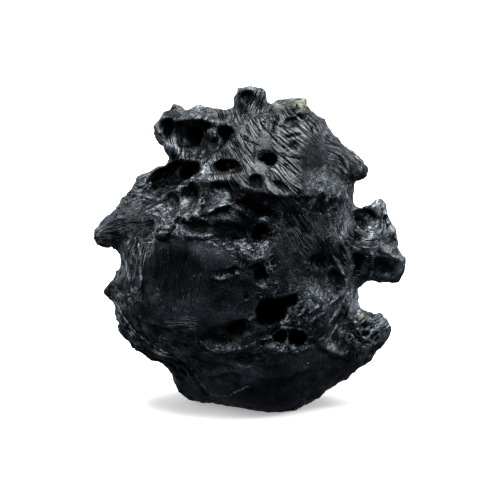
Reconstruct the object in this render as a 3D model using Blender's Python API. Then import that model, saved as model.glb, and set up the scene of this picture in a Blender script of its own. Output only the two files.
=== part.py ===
"""A tektite: one lump of natural black glass about 57 mm tall, standing on a small flat at its foot.

The rock faces -Y and stands on Z = 0. Sizes in this file are millimetres; the finished mesh is
scaled to metres. The shape is made in the order the eye takes it in: the ragged outline as seen
from the front, swollen to a solid; the lumps that reach out of it; broad dents over everything;
the ridges; the hollows that melted or burst out of its skin; small dents and ripples; the last
shifts of the tips and notches; and the flat it rests on.
"""

import math
import random

import bmesh
import bpy
import numpy as np
from mathutils import Euler, Matrix, Vector, noise
from mathutils.bvhtree import BVHTree

NAME = "tektite"
MM = 0.001
SEED = 7

# Grain of the solid at each stage, and how many triangles the finished rock keeps.
SLAB_HALF = 1.0
SLAB_VOXEL = 0.9
BODY_VOXEL = 0.5
TRIANGLES = 9700
EDGE_HALF = 0.7

# Each stretch of the outline, clockwise from the left horn as seen from the front: how far the
# stretch lies behind the middle of the rock (Y), and its points (X, Z).
OUTLINE = (
    ("left horn", -4.0, ((-26.6, 29.2), (-27.5, 31.7), (-26.6, 33.9), (-23.5, 36.5))),
    ("left shelf", 1.0, ((-22.3, 38.5), (-20.8, 39.6), (-20.4, 41.4), (-18.0, 42.4), (-14.4, 43.4))),
    ("upper left lobe", 3.0, ((-12.9, 45.0), (-16.3, 48.0), (-17.6, 50.2), (-15.5, 52.7),
                              (-13.0, 54.0), (-10.6, 52.7), (-8.6, 53.9), (-3.0, 53.0))),
    ("top horn", 5.0, ((-2.6, 55.0), (-1.9, 56.0), (-1.8, 57.5), (0.2, 57.3),
                       (2.2, 57.0), (3.8, 56.2), (3.6, 54.0))),
    ("top lip", 6.0, ((4.4, 53.6), (6.9, 56.1), (9.9, 55.3))),
    ("upper slope", 3.0, ((11.0, 53.5), (12.8, 51.9), (15.4, 48.8), (17.1, 46.8))),
    ("right corner", 0.0, ((19.4, 46.7), (22.7, 43.8), (22.5, 41.0), (18.8, 40.4))),
    ("right notch", 1.0, ((19.4, 38.7), (18.8, 37.1), (19.6, 35.0))),
    ("right lobe", 4.0, ((22.4, 36.8), (24.2, 38.3), (25.5, 36.2), (25.7, 33.3),
                         (26.6, 30.2), (27.2, 26.9))),
    ("right horn", 4.0, ((28.8, 25.5), (28.6, 23.5), (27.2, 21.5), (25.1, 21.1), (21.8, 22.0))),
    ("right bay", 5.0, ((20.8, 20.9), (20.2, 20.2), (20.3, 17.9), (21.2, 16.6))),
    ("lower right lobe", 1.0, ((23.6, 17.0), (25.4, 15.6), (26.1, 13.2), (24.0, 9.7),
                               (21.7, 8.3), (19.3, 6.7))),
    ("lower right edge", 0.0, ((18.5, 5.2), (15.9, 3.7), (13.4, 1.4), (11.0, -0.9))),
    ("foot", -6.0, ((6.6, -1.6), (2.2, -0.6), (-1.8, 0.2))),
    ("left of the foot", 2.0, ((-5.3, -0.3), (-8.4, 0.2), (-11.4, 1.2), (-13.0, 2.7), (-14.2, 6.2))),
    ("lower left edge", 0.0, ((-16.2, 7.8), (-18.2, 8.1), (-18.9, 9.4), (-20.9, 11.3),
                              (-22.2, 13.6), (-23.7, 15.9), (-24.0, 17.2))),
    ("left tooth", -3.0, ((-25.1, 19.7), (-26.5, 20.6), (-26.5, 22.0), (-24.2, 23.2))),
    ("left bay", -3.0, ((-23.6, 24.4), (-22.4, 26.1), (-22.4, 28.1), (-23.8, 29.4))),
)

# How far the swollen body reaches at a few heights, as a share of the ball that fits the outline.
FRONT_REACH = ((0.0, 0.80), (10.0, 0.86), (22.0, 0.93), (34.0, 1.00), (44.0, 1.02), (57.0, 1.00))
BACK_REACH = ((0.0, 0.95), (14.0, 1.00), (28.0, 0.95), (42.0, 0.92), (57.0, 0.90))

# Lumps: centre (X, Y, Z), radii, turn in degrees about each axis.
LUMPS = (
    ("brow over the belly", (3.2, -8.0, 41.6), (14.5, 9.8, 4.4), (12, 6, 3)),
    ("chest under the brow", (4.0, -7.5, 30.5), (13.5, 9.8, 10.5), (0, 0, 0)),
    ("upper face", (2.0, -2.5, 42.5), (14.5, 11.0, 8.0), (34, 0, 0)),
    ("belly", (1.0, -7.0, 20.0), (15.5, 12.5, 14.0), (0, 0, 0)),
    ("left shoulder", (-13.0, -6.0, 34.0), (9.0, 9.0, 6.5), (0, 14, 0)),
    ("left crest", (-14.6, -4.0, 17.0), (6.0, 6.5, 6.5), (0, 38, 0)),
    ("right neck", (14.5, -6.0, 29.0), (5.0, 8.0, 9.0), (0, 0, 0)),
    ("lower right lobe", (18.0, 0.5, 11.8), (6.4, 7.5, 4.7), (0, -24, 0)),
    ("upper left lobe", (-9.0, 2.0, 48.4), (6.2, 5.6, 5.0), (18, 12, 0)),
    ("top horn", (0.3, 4.6, 53.8), (2.5, 2.3, 3.5), (0, 0, 0)),
    ("back hump", (-5.0, 11.0, 34.0), (11.0, 9.0, 10.0), (0, 0, 20)),
    ("back heel", (5.0, 10.5, 14.0), (12.0, 9.0, 8.5), (0, 10, 0)),
    ("heel", (0.5, 2.0, 4.2), (9.5, 8.5, 5.4), (0, 0, 0)),
    ("back knob", (12.5, 12.0, 38.5), (5.0, 5.6, 5.0), (0, 0, -30)),
    ("left back knob", (-15.5, 8.0, 24.0), (5.5, 6.0, 7.0), (0, 0, 24)),
)

# What shows on the front is placed as an eye sees it that looks slightly down at the rock: so far
# right of the rock's middle, and so far above it.
EYE_DISTANCE = 450.0
EYE_RISE = 10.0
EYE_AIMS_AT = (0.0, 0.0, 28.3)

# Ridges on the front: radius, and the places that the ridge runs through.
RIDGES = (
    ("ledge", 0.9, ((-9.0, 12.4), (-6.1, 11.7), (-3.2, 11.9), (0.0, 10.8), (4.0, 10.0), (9.0, 9.8),
                    (13.7, 9.4), (17.8, 8.8))),
    ("rim of the upper left lobe", 1.2, ((-16.0, 23.0), (-14.4, 24.8), (-11.9, 25.0), (-9.0, 25.2),
                                         (-6.1, 24.8), (-3.2, 24.5))),
    ("lower left crest", 0.9, ((-23.6, -10.1), (-22.7, -12.6), (-20.5, -15.1), (-17.6, -17.6),
                               (-14.8, -18.9), (-12.2, -20.2), (-10.1, -22.7), (-9.0, -25.7))),
    ("rim of the left dish", 0.8, ((-20.5, 1.8), (-21.4, -2.2), (-20.7, -7.2), (-18.9, -11.9),
                                   (-16.2, -15.7))),
    ("lip of the fissure", 0.9, ((-19.6, 8.3), (-16.9, 9.4), (-14.0, 10.6), (-10.8, 11.9),
                                 (-8.3, 13.3))),
    ("left strand", 0.6, ((-13.1, 22.7), (-13.9, 19.4), (-14.2, 16.2))),
    ("middle strand", 0.6, ((-10.8, 22.7), (-11.2, 19.3), (-11.9, 16.2))),
    ("right strand", 0.6, ((-7.7, 21.6), (-8.3, 18.4), (-9.0, 15.1))),
    ("inner strand", 0.6, ((-5.0, 19.3), (-6.1, 16.9), (-6.8, 14.4))),
    ("vein beside the neck", 0.7, ((15.3, -0.7), (16.9, -3.6), (17.3, -6.8), (15.3, -11.2),
                                   (12.2, -14.8))),
    ("arc over the middle pit", 0.7, ((-0.7, 4.1), (1.1, 5.4), (3.1, 4.9), (4.1, 2.7))),
    ("wall between the scoops", 0.7, ((-7.7, 11.2), (-7.6, 8.3), (-8.8, 5.6))),
    ("edge of the neck", 0.7, ((16.4, 7.9), (16.9, 2.7), (18.2, -2.2))),
    ("rim over the twin holes", 0.6, ((2.3, -13.5), (5.4, -13.3), (8.3, -12.2), (9.9, -10.1))),
)

# Hollows seen from one side: the two coordinates across that side, the half width and half height
# of the mouth, the depth, and the turn of the mouth in degrees.
FRONT_HOLLOWS = (
    ("hollow under the lobe's rim", -9.7, 19.6, 6.3, 3.0, 2.6, 6),
    ("upper left cavity", -14.4, 22.1, 1.7, 1.6, 1.6, 0),
    ("recess beside the rim", -9.5, 20.5, 1.4, 1.9, 2.4, 0),
    ("oval pit in the lobe", -4.5, 21.2, 2.1, 1.4, 2.8, 0),
    ("round bore", 3.3, 16.5, 1.5, 1.15, 4.5, 0),
    ("fissure, outer end", -16.4, 11.6, 3.8, 1.9, 3.6, 26),
    ("fissure, inner end", -12.0, 13.2, 3.8, 2.3, 5.2, 26),
    ("pit under the lobe", -5.0, 14.8, 2.5, 1.4, 1.8, 10),
    ("arch beside the shoulder", -9.7, 10.6, 1.3, 1.5, 1.8, 0),
    ("scoop in the shoulder", -11.3, 7.6, 2.7, 3.0, 1.9, 0),
    ("scoop under the brow's end", -4.3, 9.5, 2.9, 2.1, 1.7, -10),
    ("outer scoop in the shoulder", -15.1, 8.1, 1.8, 2.2, 1.2, 15),
    ("scoop on the left shelf", -16.2, 4.3, 2.6, 1.9, 1.2, 0),
    ("scallop below the shoulder", -8.1, 3.8, 3.6, 1.4, 1.0, 8),
    ("left arch over the ledge", 1.4, 12.2, 2.3, 1.5, 1.8, -12),
    ("right arch over the ledge", 6.1, 11.5, 2.0, 1.1, 1.0, -12),
    ("middle pit", 1.6, 3.2, 2.2, 1.7, 3.0, 0),
    ("floor below the middle pit", 0.7, 0.2, 2.9, 2.4, 1.4, 10),
    ("drip pit", 2.0, -5.2, 1.3, 1.7, 1.2, 0),
    ("light dish", -4.9, -4.5, 2.4, 1.1, 0.6, 0),
    ("left dish", -14.8, -6.3, 6.8, 8.2, 2.6, -14),
    ("right of the belly", 10.8, 0.7, 4.8, 4.2, 0.9, 0),
    ("ragged hole", 4.7, -10.8, 2.5, 1.8, 4.2, 14),
    ("ragged hole's corner", 7.6, -9.0, 1.2, 1.2, 2.6, 0),
    ("left twin hole", 5.2, -15.5, 1.4, 1.4, 2.4, 0),
    ("right twin hole", 8.6, -15.8, 1.8, 1.6, 2.8, 0),
    ("dark hollow beside the hole", -2.0, -14.4, 1.7, 1.4, 1.8, 0),
    ("band under the dark hollow", -5.0, -16.9, 3.6, 1.1, 0.8, 6),
    ("lower pit", -0.7, -19.6, 2.3, 1.3, 1.2, 8),
    ("lower left facet", -4.5, -23.2, 3.9, 3.4, 0.9, -20),
    ("foot facet", 3.1, -25.7, 5.2, 2.5, 0.9, 0),
    ("right foot facet", 9.2, -23.6, 2.6, 2.2, 0.9, 30),
    ("hollow under the peak", 20.2, 5.4, 2.4, 1.8, 3.0, 0),
    ("neck dish", 19.1, 1.6, 2.5, 2.5, 1.3, 0),
    ("cavity behind the right horn", 19.8, -2.9, 1.6, 2.3, 2.4, 0),
    ("dish beside the neck", 13.9, -3.6, 2.3, 3.0, 1.1, 0),
    ("dish over the lower lobe", 13.0, -16.0, 1.6, 2.0, 0.9, 0),
    ("dent in the lower lobe", 20.2, -14.9, 2.2, 2.3, 1.1, 0),
    ("rough patch", 7.0, 23.0, 2.0, 1.7, 0.9, 0),
    ("pit in the upper face", 7.9, 18.7, 1.1, 1.0, 0.9, 0),
    ("dish on the right horn", 24.8, -3.6, 1.9, 1.6, 0.8, 0),
    ("under the lower left crest", -12.8, -21.8, 3.0, 1.5, 1.3, -40),
)
LEFT_HOLLOWS = (
    ("under the horn", -1.0, 25.8, 3.4, 2.2, 1.8, 0),
    ("side dish", 5.0, 35.0, 4.2, 3.6, 1.6, 20),
    ("side pit", 10.5, 28.0, 2.2, 2.6, 2.2, 0),
    ("low dish", 4.0, 12.5, 4.6, 3.4, 1.5, -20),
    ("heel pit", 9.5, 19.0, 2.0, 1.7, 1.6, 0),
)
RIGHT_HOLLOWS = (
    ("bay between the lobes", 3.5, 18.6, 4.6, 1.9, 2.2, 0),
    ("side dish", 9.0, 31.0, 4.0, 4.4, 1.7, 0),
    ("upper dish", 4.0, 44.0, 4.4, 2.8, 1.3, 30),
    ("low dish", 8.5, 9.5, 4.2, 3.0, 1.4, 0),
    ("side pit", 14.0, 21.5, 2.0, 2.2, 2.4, 0),
)
BACK_HOLLOWS = (
    ("great dish", -3.0, 30.5, 7.0, 6.0, 2.3, 20),
    ("upper dish", 4.5, 43.0, 5.2, 3.6, 1.6, -16),
    ("left pit", -12.5, 35.0, 2.2, 2.6, 2.6, 0),
    ("low dish", -4.0, 11.5, 5.6, 4.2, 1.7, 12),
    ("right dish", 10.5, 19.0, 4.6, 5.2, 1.7, -24),
    ("deep pit", 3.5, 20.5, 1.8, 1.5, 3.2, 0),
    ("upper left dish", -9.0, 46.0, 3.4, 2.6, 1.2, 0),
    ("heel scoop", 10.5, 7.0, 3.6, 2.4, 1.1, 0),
    ("lobe pit", 15.0, 31.5, 2.0, 2.8, 1.8, 0),
)

# Unevenness of the whole skin. Swells and ripples: wavelength, height. Scallops, which are round
# dents that meet in sharp ridges: spacing, depth.
SWELLS = (9.0, 0.8)
RIPPLES = (2.3, 0.4)
WIDE_SCALLOPS = (7.0, 2.0)
SMALL_SCALLOPS = (3.3, 1.05)

# Places that stay smoother: centre (X, Y, Z) and radius.
CALM_PLACES = (
    ("upper face", (6.0, -11.0, 45.0), 13.0),
    ("left dish", (-14.6, -10.0, 21.6), 9.0),
    ("foot facets", (0.0, -9.0, 5.0), 9.0),
    ("right of the belly", (9.0, -16.0, 25.0), 8.0),
)
CALM_SHARE = 0.75

# Scallops are kept from lining up by a shake of their places: its share, and how quickly it
# changes. The skin between the dents stands out by the last share of their depth.
SCALLOP_SHAKE = 0.35
SHAKE_PACE = 1.3
SCALLOP_LEVEL = 0.35

# The last shifts of the skin, as the eye sees it, that bring each tip and notch to its place:
# where, how far around that place the shift reaches, and the shift, each across and up.
SHIFTS = (
    ("back of the left horn", (-27.0, 5.2), 2.4, (0.3, -0.8)),
    ("tip of the left horn", (-27.6, 1.6), 2.0, (-0.1, -0.4)),
    ("step of the shelf", (-21.5, 11.7), 1.8, (0.2, -0.4)),
    ("shelf under the fissure", (-17.3, 14.8), 3.0, (0.0, -1.2)),
    ("shoulder of the left lobe", (-16.6, 24.8), 2.0, (0.7, -0.5)),
    ("top of the left lobe", (-12.9, 25.6), 1.4, (0.0, 0.5)),
    ("dip in the lobe's top", (-10.8, 25.7), 1.3, (0.0, -0.8)),
    ("left side of the top horn", (-2.8, 26.6), 1.2, (-0.5, 0.0)),
    ("crown of the top horn", (-0.4, 29.4), 1.6, (0.1, -0.2)),
    ("right side of the top horn", (2.8, 28.3), 1.2, (0.0, 0.2)),
    ("gap beside the top horn", (4.6, 27.0), 1.6, (0.0, -1.3)),
    ("top lip", (8.4, 26.6), 1.8, (0.3, 0.4)),
    ("right corner", (20.9, 15.3), 2.8, (-0.8, -0.7)),
    ("underside of the corner", (19.3, 12.6), 1.3, (0.0, 0.2)),
    ("right notch", (18.8, 11.2), 1.3, (0.6, 0.0)),
    ("slope of the peak", (21.4, 8.5), 2.8, (0.0, -1.3)),
    ("right lobe", (25.8, 3.8), 2.2, (0.6, 0.0)),
    ("tip of the right horn", (27.4, -3.0), 2.6, (0.5, -0.5)),
    ("underside of the right horn", (21.0, -6.0), 2.2, (0.0, -0.5)),
    ("back wall of the bay", (19.4, -10.4), 1.6, (0.9, 0.0)),
    ("top of the lower right lobe", (22.6, -11.2), 1.3, (0.0, -0.4)),
    ("side of the lower right lobe", (24.7, -14.4), 2.4, (0.5, 0.0)),
    ("underside of the lower right lobe", (21.2, -19.8), 1.9, (0.5, -0.4)),
    ("lower right edge", (17.9, -22.2), 1.8, (0.3, -0.3)),
    ("left of the foot", (-6.0, -28.0), 2.4, (0.0, 0.5)),
    ("lower left corner", (-14.4, -23.0), 1.8, (0.4, 0.3)),
    ("lower left edge", (-22.6, -16.1), 2.0, (0.3, 0.3)),
    ("left edge", (-24.8, -11.0), 1.8, (0.7, 0.0)),
    ("underside of the left tooth", (-25.6, -8.2), 1.3, (-0.4, 0.0)),
    ("top of the left tooth", (-25.6, -5.7), 1.5, (0.3, -1.2)),
    ("left bay", (-23.7, -2.2), 1.9, (0.4, 0.0)),
)

# Half size of the blocks that stand for everything below the ground or far outside the rock.
BOX_REACH = 60.0

# Half length of a ridge's bead, as a share of the step it spans.
BEAD_OVERLAP = 0.66

# How far a shallow hollow's cutter stands off the skin, as a share of the hollow's depth.
STAND_OFF = 0.6


def outline_points():
    """The outline's corners as an array of X, Z rows, and how far back each one lies."""
    corners = [point for _, _, points in OUTLINE for point in points]
    depths = [depth for _, depth, points in OUTLINE for _ in points]
    return np.array(corners), np.array(depths)


def rounded_outline(corners, depths, steps=3):
    """A smooth closed curve through the corners, so that lobes are round and not cut with a knife."""
    before = np.roll(corners, 1, axis=0)
    after = np.roll(corners, -1, axis=0)
    beyond = np.roll(corners, -2, axis=0)
    points = []
    backs = []
    for step in range(steps):
        t = step / steps
        curve = 0.5 * (
            2 * corners
            + (after - before) * t
            + (2 * before - 5 * corners + 4 * after - beyond) * t**2
            + (3 * corners - before - 3 * after + beyond) * t**3
        )
        points.append(curve)
        backs.append(depths + (np.roll(depths, -1) - depths) * t)
    return np.stack(points, axis=1).reshape(-1, 2), np.stack(backs, axis=1).reshape(-1)


def distances_to_loop(points, loop):
    """How far each X, Z point lies from the closed loop."""
    nearest = np.full(len(points), np.inf)
    for start, end in zip(loop, np.roll(loop, -1, axis=0)):
        along = end - start
        share = np.clip((points - start) @ along / (along @ along), 0, 1)
        gap = points - start - share[:, None] * along
        nearest = np.minimum(nearest, np.hypot(gap[:, 0], gap[:, 1]))
    return nearest


def inside_loop(points, loop):
    """Whether each X, Z point lies inside the closed loop."""
    inside = np.zeros(len(points), bool)
    x, z = points[:, 0], points[:, 1]
    for (ax, az), (bx, bz) in zip(loop, np.roll(loop, -1, axis=0)):
        if az == bz:
            continue
        crosses = (az > z) != (bz > z)
        inside ^= crosses & (x < ax + (z - az) * (bx - ax) / (bz - az))
    return inside


def new_object(name, bm):
    mesh = bpy.data.meshes.new(name)
    bm.to_mesh(mesh)
    bm.free()
    obj = bpy.data.objects.new(name, mesh)
    bpy.context.scene.collection.objects.link(obj)
    return obj


def apply_modifiers(obj):
    """Replaces the object's mesh by what its modifiers make of it."""
    bpy.context.view_layer.update()
    graph = bpy.context.evaluated_depsgraph_get()
    made = bpy.data.meshes.new_from_object(obj.evaluated_get(graph))
    old = obj.data
    obj.modifiers.clear()
    obj.data = made
    bpy.data.meshes.remove(old)


def remesh(obj, voxel):
    modifier = obj.modifiers.new("even skin", "REMESH")
    modifier.mode = "VOXEL"
    modifier.voxel_size = voxel
    apply_modifiers(obj)


def coordinates(obj):
    points = np.empty(len(obj.data.vertices) * 3)
    obj.data.vertices.foreach_get("co", points)
    return points.reshape(-1, 3)


def set_coordinates(obj, points):
    obj.data.vertices.foreach_set("co", np.ascontiguousarray(points).ravel())
    obj.data.update()


def outline_slab(loop):
    """A thin plate with the outline's shape, standing upright across the Y axis."""
    bm = bmesh.new()
    rim = [bm.verts.new((x, -SLAB_HALF, z)) for x, z in loop]
    face = bm.faces.new(rim)
    grown = bmesh.ops.extrude_face_region(bm, geom=[face])
    moved = [item for item in grown["geom"] if isinstance(item, bmesh.types.BMVert)]
    bmesh.ops.translate(bm, verts=moved, vec=(0, 2 * SLAB_HALF, 0))
    bmesh.ops.recalc_face_normals(bm, faces=bm.faces)
    slab = new_object(NAME, bm)
    remesh(slab, SLAB_VOXEL)
    return slab


def ball_heights(points, loop, spacing=1.0):
    """Height, over each X, Z point, of all the balls that fit inside the loop."""
    low, high = loop.min(axis=0), loop.max(axis=0)
    across = np.arange(low[0], high[0], spacing)
    up = np.arange(low[1], high[1], spacing)
    centres = np.stack(np.meshgrid(across, up), axis=-1).reshape(-1, 2)
    centres = centres[inside_loop(centres, loop)]
    radii = distances_to_loop(centres, loop)
    best = np.zeros(len(points))
    for centre, radius in zip(centres, radii):
        left = radius**2 - ((points - centre) ** 2).sum(axis=1)
        best = np.maximum(best, left)
    return np.sqrt(best)


def nearby_average(points, loop, values, reach=4.0):
    """The loop's values spread over the inside, each point taking most from the nearest."""
    total = np.zeros(len(points))
    weights = np.zeros(len(points))
    for corner, value in zip(loop, values):
        weight = 1 / (((points - corner) ** 2).sum(axis=1) + reach**2) ** 1.5
        total += weight * value
        weights += weight
    return total / weights


def swell(slab, loop, backs):
    """Moves the plate's two faces out to the balls that fit the outline."""
    points = coordinates(slab)
    flat = points[:, [0, 2]]
    middle = nearby_average(flat, loop, backs)
    height = ball_heights(flat, loop)
    front = height * np.interp(flat[:, 1], *zip(*FRONT_REACH))
    back = height * np.interp(flat[:, 1], *zip(*BACK_REACH))
    side = points[:, 1] / SLAB_HALF
    reach = np.maximum(np.where(side < 0, front, back), EDGE_HALF)
    points[:, 1] = middle + side * reach
    set_coordinates(slab, points)


def ellipsoid(name, centre, radii, turn):
    bm = bmesh.new()
    bmesh.ops.create_icosphere(bm, subdivisions=3, radius=1)
    rotation = turn if isinstance(turn, Matrix) else Euler([math.radians(a) for a in turn]).to_matrix()
    place = Matrix.LocRotScale(Vector(centre), rotation, Vector(radii))
    bmesh.ops.transform(bm, matrix=place, verts=bm.verts)
    return new_object(name, bm)


def combine(body, tools, operation, voxel):
    """Adds or cuts all the tools at once, then evens the skin again."""
    group = bpy.data.collections.new(operation.lower())
    for tool in tools:
        tool.hide_render = True
        tool.display_type = "WIRE"
        group.objects.link(tool)
    modifier = body.modifiers.new(operation.lower(), "BOOLEAN")
    modifier.operation = operation
    modifier.operand_type = "COLLECTION"
    modifier.collection = group
    modifier.solver = "EXACT"
    apply_modifiers(body)
    for tool in tools:
        bpy.data.objects.remove(tool)
    bpy.data.collections.remove(group)
    if voxel:
        remesh(body, voxel)


def tree_of(body):
    graph = bpy.context.evaluated_depsgraph_get()
    return BVHTree.FromObject(body, graph)


def sight_line(side, across, up):
    """Where a straight look at that place of that side starts, and which way it goes."""
    if side == "front":
        rise = math.radians(EYE_RISE)
        aim = Vector(EYE_AIMS_AT)
        eye = aim + EYE_DISTANCE * Vector((0, -math.cos(rise), math.sin(rise)))
        place = aim + Vector((across, up * math.sin(rise), up * math.cos(rise)))
        return eye, (place - eye).normalized()
    toward = Vector({"back": (0, -1, 0), "left": (1, 0, 0), "right": (-1, 0, 0)}[side])
    place = Vector((across, 0, up)) if side == "back" else Vector((0, across, up))
    return place - toward * BOX_REACH, toward


def hollow_cutter(tree, side, hollow):
    """An ellipsoid that opens the skin where the sight line first meets it."""
    name, across, up, half_wide, half_tall, depth, turn = hollow
    start, toward = sight_line(side, across, up)
    hit, normal, _, _ = tree.ray_cast(start, toward)
    if hit is None:
        raise ValueError(name + " misses the rock")
    inward = (toward - normal).normalized()
    frame = inward.to_track_quat("Y", "Z").to_matrix()
    spin = Matrix.Rotation(math.radians(-turn), 3, "Y")
    # A shallow hollow is the tip of a flatter ellipsoid; a deep one starts at its widest.
    stand_off = 0.0 if depth > half_wide else STAND_OFF * depth
    radius = depth + stand_off
    widening = 1 / math.sqrt(1 - (stand_off / radius) ** 2)
    radii = (half_wide * widening, radius, half_tall * widening)
    return ellipsoid(name, hit - inward * stand_off, radii, frame @ spin)


def ridge_beads(tree, ridge):
    """Long beads laid end to end along the skin, half sunk in it."""
    name, radius, places = ridge
    hits = []
    for across, up in places:
        hit, _, _, _ = tree.ray_cast(*sight_line("front", across, up))
        if hit is not None:
            hits.append(hit)
    beads = []
    for start, end in zip(hits, hits[1:]):
        along = end - start
        thickness = radius * random.uniform(0.8, 1.2)
        frame = along.to_track_quat("Y", "Z").to_matrix()
        radii = (thickness, BEAD_OVERLAP * along.length, thickness)
        beads.append(ellipsoid(name, (start + end) / 2, radii, frame))
    return beads


def roughen(body, wave, height, offset):
    """Pushes the skin in and out along its normals by smooth noise."""
    mesh = body.data
    points = coordinates(body)
    normals = np.array([vertex.normal[:] for vertex in mesh.vertices])
    push = np.array([noise.noise(Vector(p) / wave + offset) for p in points])
    set_coordinates(body, points + normals * (push * height)[:, None])


def calmness(points):
    """How much of the scallops' depth each point loses, from 0 to CALM_SHARE."""
    calm = np.zeros(len(points))
    for _, centre, radius in CALM_PLACES:
        away = np.linalg.norm(points - centre, axis=1) / radius
        calm = np.maximum(calm, np.clip(1.5 - away, 0, 1))
    return calm * CALM_SHARE


def scallop(body, spacing, depth, offset):
    """Dents the skin all over, each dent deepest at its own centre."""
    points = coordinates(body)
    normals = np.array([vertex.normal[:] for vertex in body.data.vertices])
    push = np.empty(len(points))
    for index, point in enumerate(points):
        place = Vector(point) / spacing + offset
        place += SCALLOP_SHAKE * noise.noise_vector(place * SHAKE_PACE)
        nearest, _ = noise.voronoi(place)
        push[index] = nearest[0] ** 2 - SCALLOP_LEVEL
    push *= depth * (1 - calmness(points))
    set_coordinates(body, points + normals * push[:, None])


def shift_skin(body):
    """Moves the skin across the eye's view, most at each shift's own place."""
    points = coordinates(body)
    rise = math.radians(EYE_RISE)
    right = np.array((1.0, 0.0, 0.0))
    upward = np.array((0.0, math.sin(rise), math.cos(rise)))
    ahead = np.array((0.0, math.cos(rise), -math.sin(rise)))
    from_aim = points - EYE_AIMS_AT
    nearness = 1 + from_aim @ ahead / EYE_DISTANCE
    seen = np.stack((from_aim @ right, from_aim @ upward), axis=1) / nearness[:, None]
    for _, place, reach, (across, up) in SHIFTS:
        away = np.hypot(*(seen - place).T) / reach
        points += np.exp(-away**2)[:, None] * (across * right + up * upward)
    set_coordinates(body, points)


def cut_foot(body):
    """Takes off all that lies below Z = 0, which leaves the flat the rock stands on."""
    bm = bmesh.new()
    bmesh.ops.create_cube(bm, size=2 * BOX_REACH)
    bmesh.ops.translate(bm, verts=bm.verts, vec=(0, 0, -BOX_REACH))
    combine(body, [new_object("ground", bm)], "DIFFERENCE", 0)


def keep_triangles(body, count):
    triangles = sum(len(polygon.vertices) - 2 for polygon in body.data.polygons)
    modifier = body.modifiers.new("fewer facets", "DECIMATE")
    modifier.ratio = count / triangles
    apply_modifiers(body)


def centre_on_foot(body):
    """Puts the middle of the bounding box over the origin, and scales to metres."""
    points = coordinates(body)
    low, high = points.min(axis=0), points.max(axis=0)
    middle = (low + high) / 2
    points -= (middle[0], middle[1], low[2])
    set_coordinates(body, points * MM)


def black_glass():
    material = bpy.data.materials.new("black_glass")
    material.use_nodes = True
    shader = material.node_tree.nodes["Principled BSDF"]
    shader.inputs["Base Color"].default_value = (0.012, 0.014, 0.017, 1)
    shader.inputs["Roughness"].default_value = 0.35
    return material


def main():
    for obj in list(bpy.data.objects):
        bpy.data.objects.remove(obj)
    random.seed(SEED)
    corners, depths = outline_points()
    loop, backs = rounded_outline(corners, depths)
    body = outline_slab(loop)
    swell(body, loop, backs)
    remesh(body, BODY_VOXEL)
    combine(body, [ellipsoid(*lump) for lump in LUMPS], "UNION", BODY_VOXEL)
    roughen(body, *SWELLS, Vector((3.1, 8.2, 1.7)))
    scallop(body, *WIDE_SCALLOPS, Vector((0.4, 7.7, 2.2)))
    tree = tree_of(body)
    beads = [bead for ridge in RIDGES for bead in ridge_beads(tree, ridge)]
    combine(body, beads, "UNION", BODY_VOXEL)
    tree = tree_of(body)
    sides = {
        "front": FRONT_HOLLOWS,
        "left": LEFT_HOLLOWS,
        "right": RIGHT_HOLLOWS,
        "back": BACK_HOLLOWS,
    }
    cutters = [hollow_cutter(tree, side, hollow) for side in sides for hollow in sides[side]]
    combine(body, cutters, "DIFFERENCE", BODY_VOXEL)
    scallop(body, *SMALL_SCALLOPS, Vector((5.5, 1.2, 9.1)))
    roughen(body, *RIPPLES, Vector((9.4, 2.6, 5.3)))
    shift_skin(body)
    keep_triangles(body, TRIANGLES)
    cut_foot(body)
    centre_on_foot(body)
    body.data.shade_smooth()
    body.data.materials.clear()
    body.data.materials.append(black_glass())


main()
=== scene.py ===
"""A tektite: the glass skin of a lump of impact glass, on a pale studio floor.

Run as a script, it loads the solid as the fixed frame, grows the fine skin over it and sets up
the stage. Lengths inside the shape functions are millimetres; Blender's objects are in metres.
"""

import functools
import itertools
import math

import bmesh
import bpy
import numpy as np
from bpy.props import FloatProperty, IntProperty, PointerProperty, StringProperty
from bpy.types import Operator, Panel, PropertyGroup
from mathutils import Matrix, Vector
from mathutils.bvhtree import BVHTree
from mathutils.kdtree import KDTree


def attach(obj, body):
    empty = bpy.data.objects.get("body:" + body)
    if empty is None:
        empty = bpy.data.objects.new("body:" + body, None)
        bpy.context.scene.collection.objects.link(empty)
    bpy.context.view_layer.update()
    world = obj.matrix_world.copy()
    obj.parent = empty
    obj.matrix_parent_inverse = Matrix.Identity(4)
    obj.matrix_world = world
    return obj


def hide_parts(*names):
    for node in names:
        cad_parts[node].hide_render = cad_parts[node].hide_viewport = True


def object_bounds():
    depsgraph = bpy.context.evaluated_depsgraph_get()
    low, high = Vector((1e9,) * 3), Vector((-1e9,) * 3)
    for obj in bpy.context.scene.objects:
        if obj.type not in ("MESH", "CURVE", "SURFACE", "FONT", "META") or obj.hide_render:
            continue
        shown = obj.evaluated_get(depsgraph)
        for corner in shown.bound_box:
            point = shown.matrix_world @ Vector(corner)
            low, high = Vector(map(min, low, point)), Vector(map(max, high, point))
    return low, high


bl_info = {
    "name": "Tektite",
    "version": (1, 0, 0),
    "blender": (4, 5, 0),
    "location": "View3D > Sidebar > Tektite",
    "description": "Grows a flow-lined, pitted skin of black natural glass over a tektite",
    "category": "Object",
}

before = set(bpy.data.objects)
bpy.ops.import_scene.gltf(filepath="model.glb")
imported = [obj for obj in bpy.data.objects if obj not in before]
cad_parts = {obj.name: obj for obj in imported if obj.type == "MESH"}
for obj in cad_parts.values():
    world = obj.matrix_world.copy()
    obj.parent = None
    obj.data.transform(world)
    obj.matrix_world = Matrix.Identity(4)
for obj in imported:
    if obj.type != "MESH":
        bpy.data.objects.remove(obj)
CAD_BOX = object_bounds()

NODE = "tektite"
MM = 0.001

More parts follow.
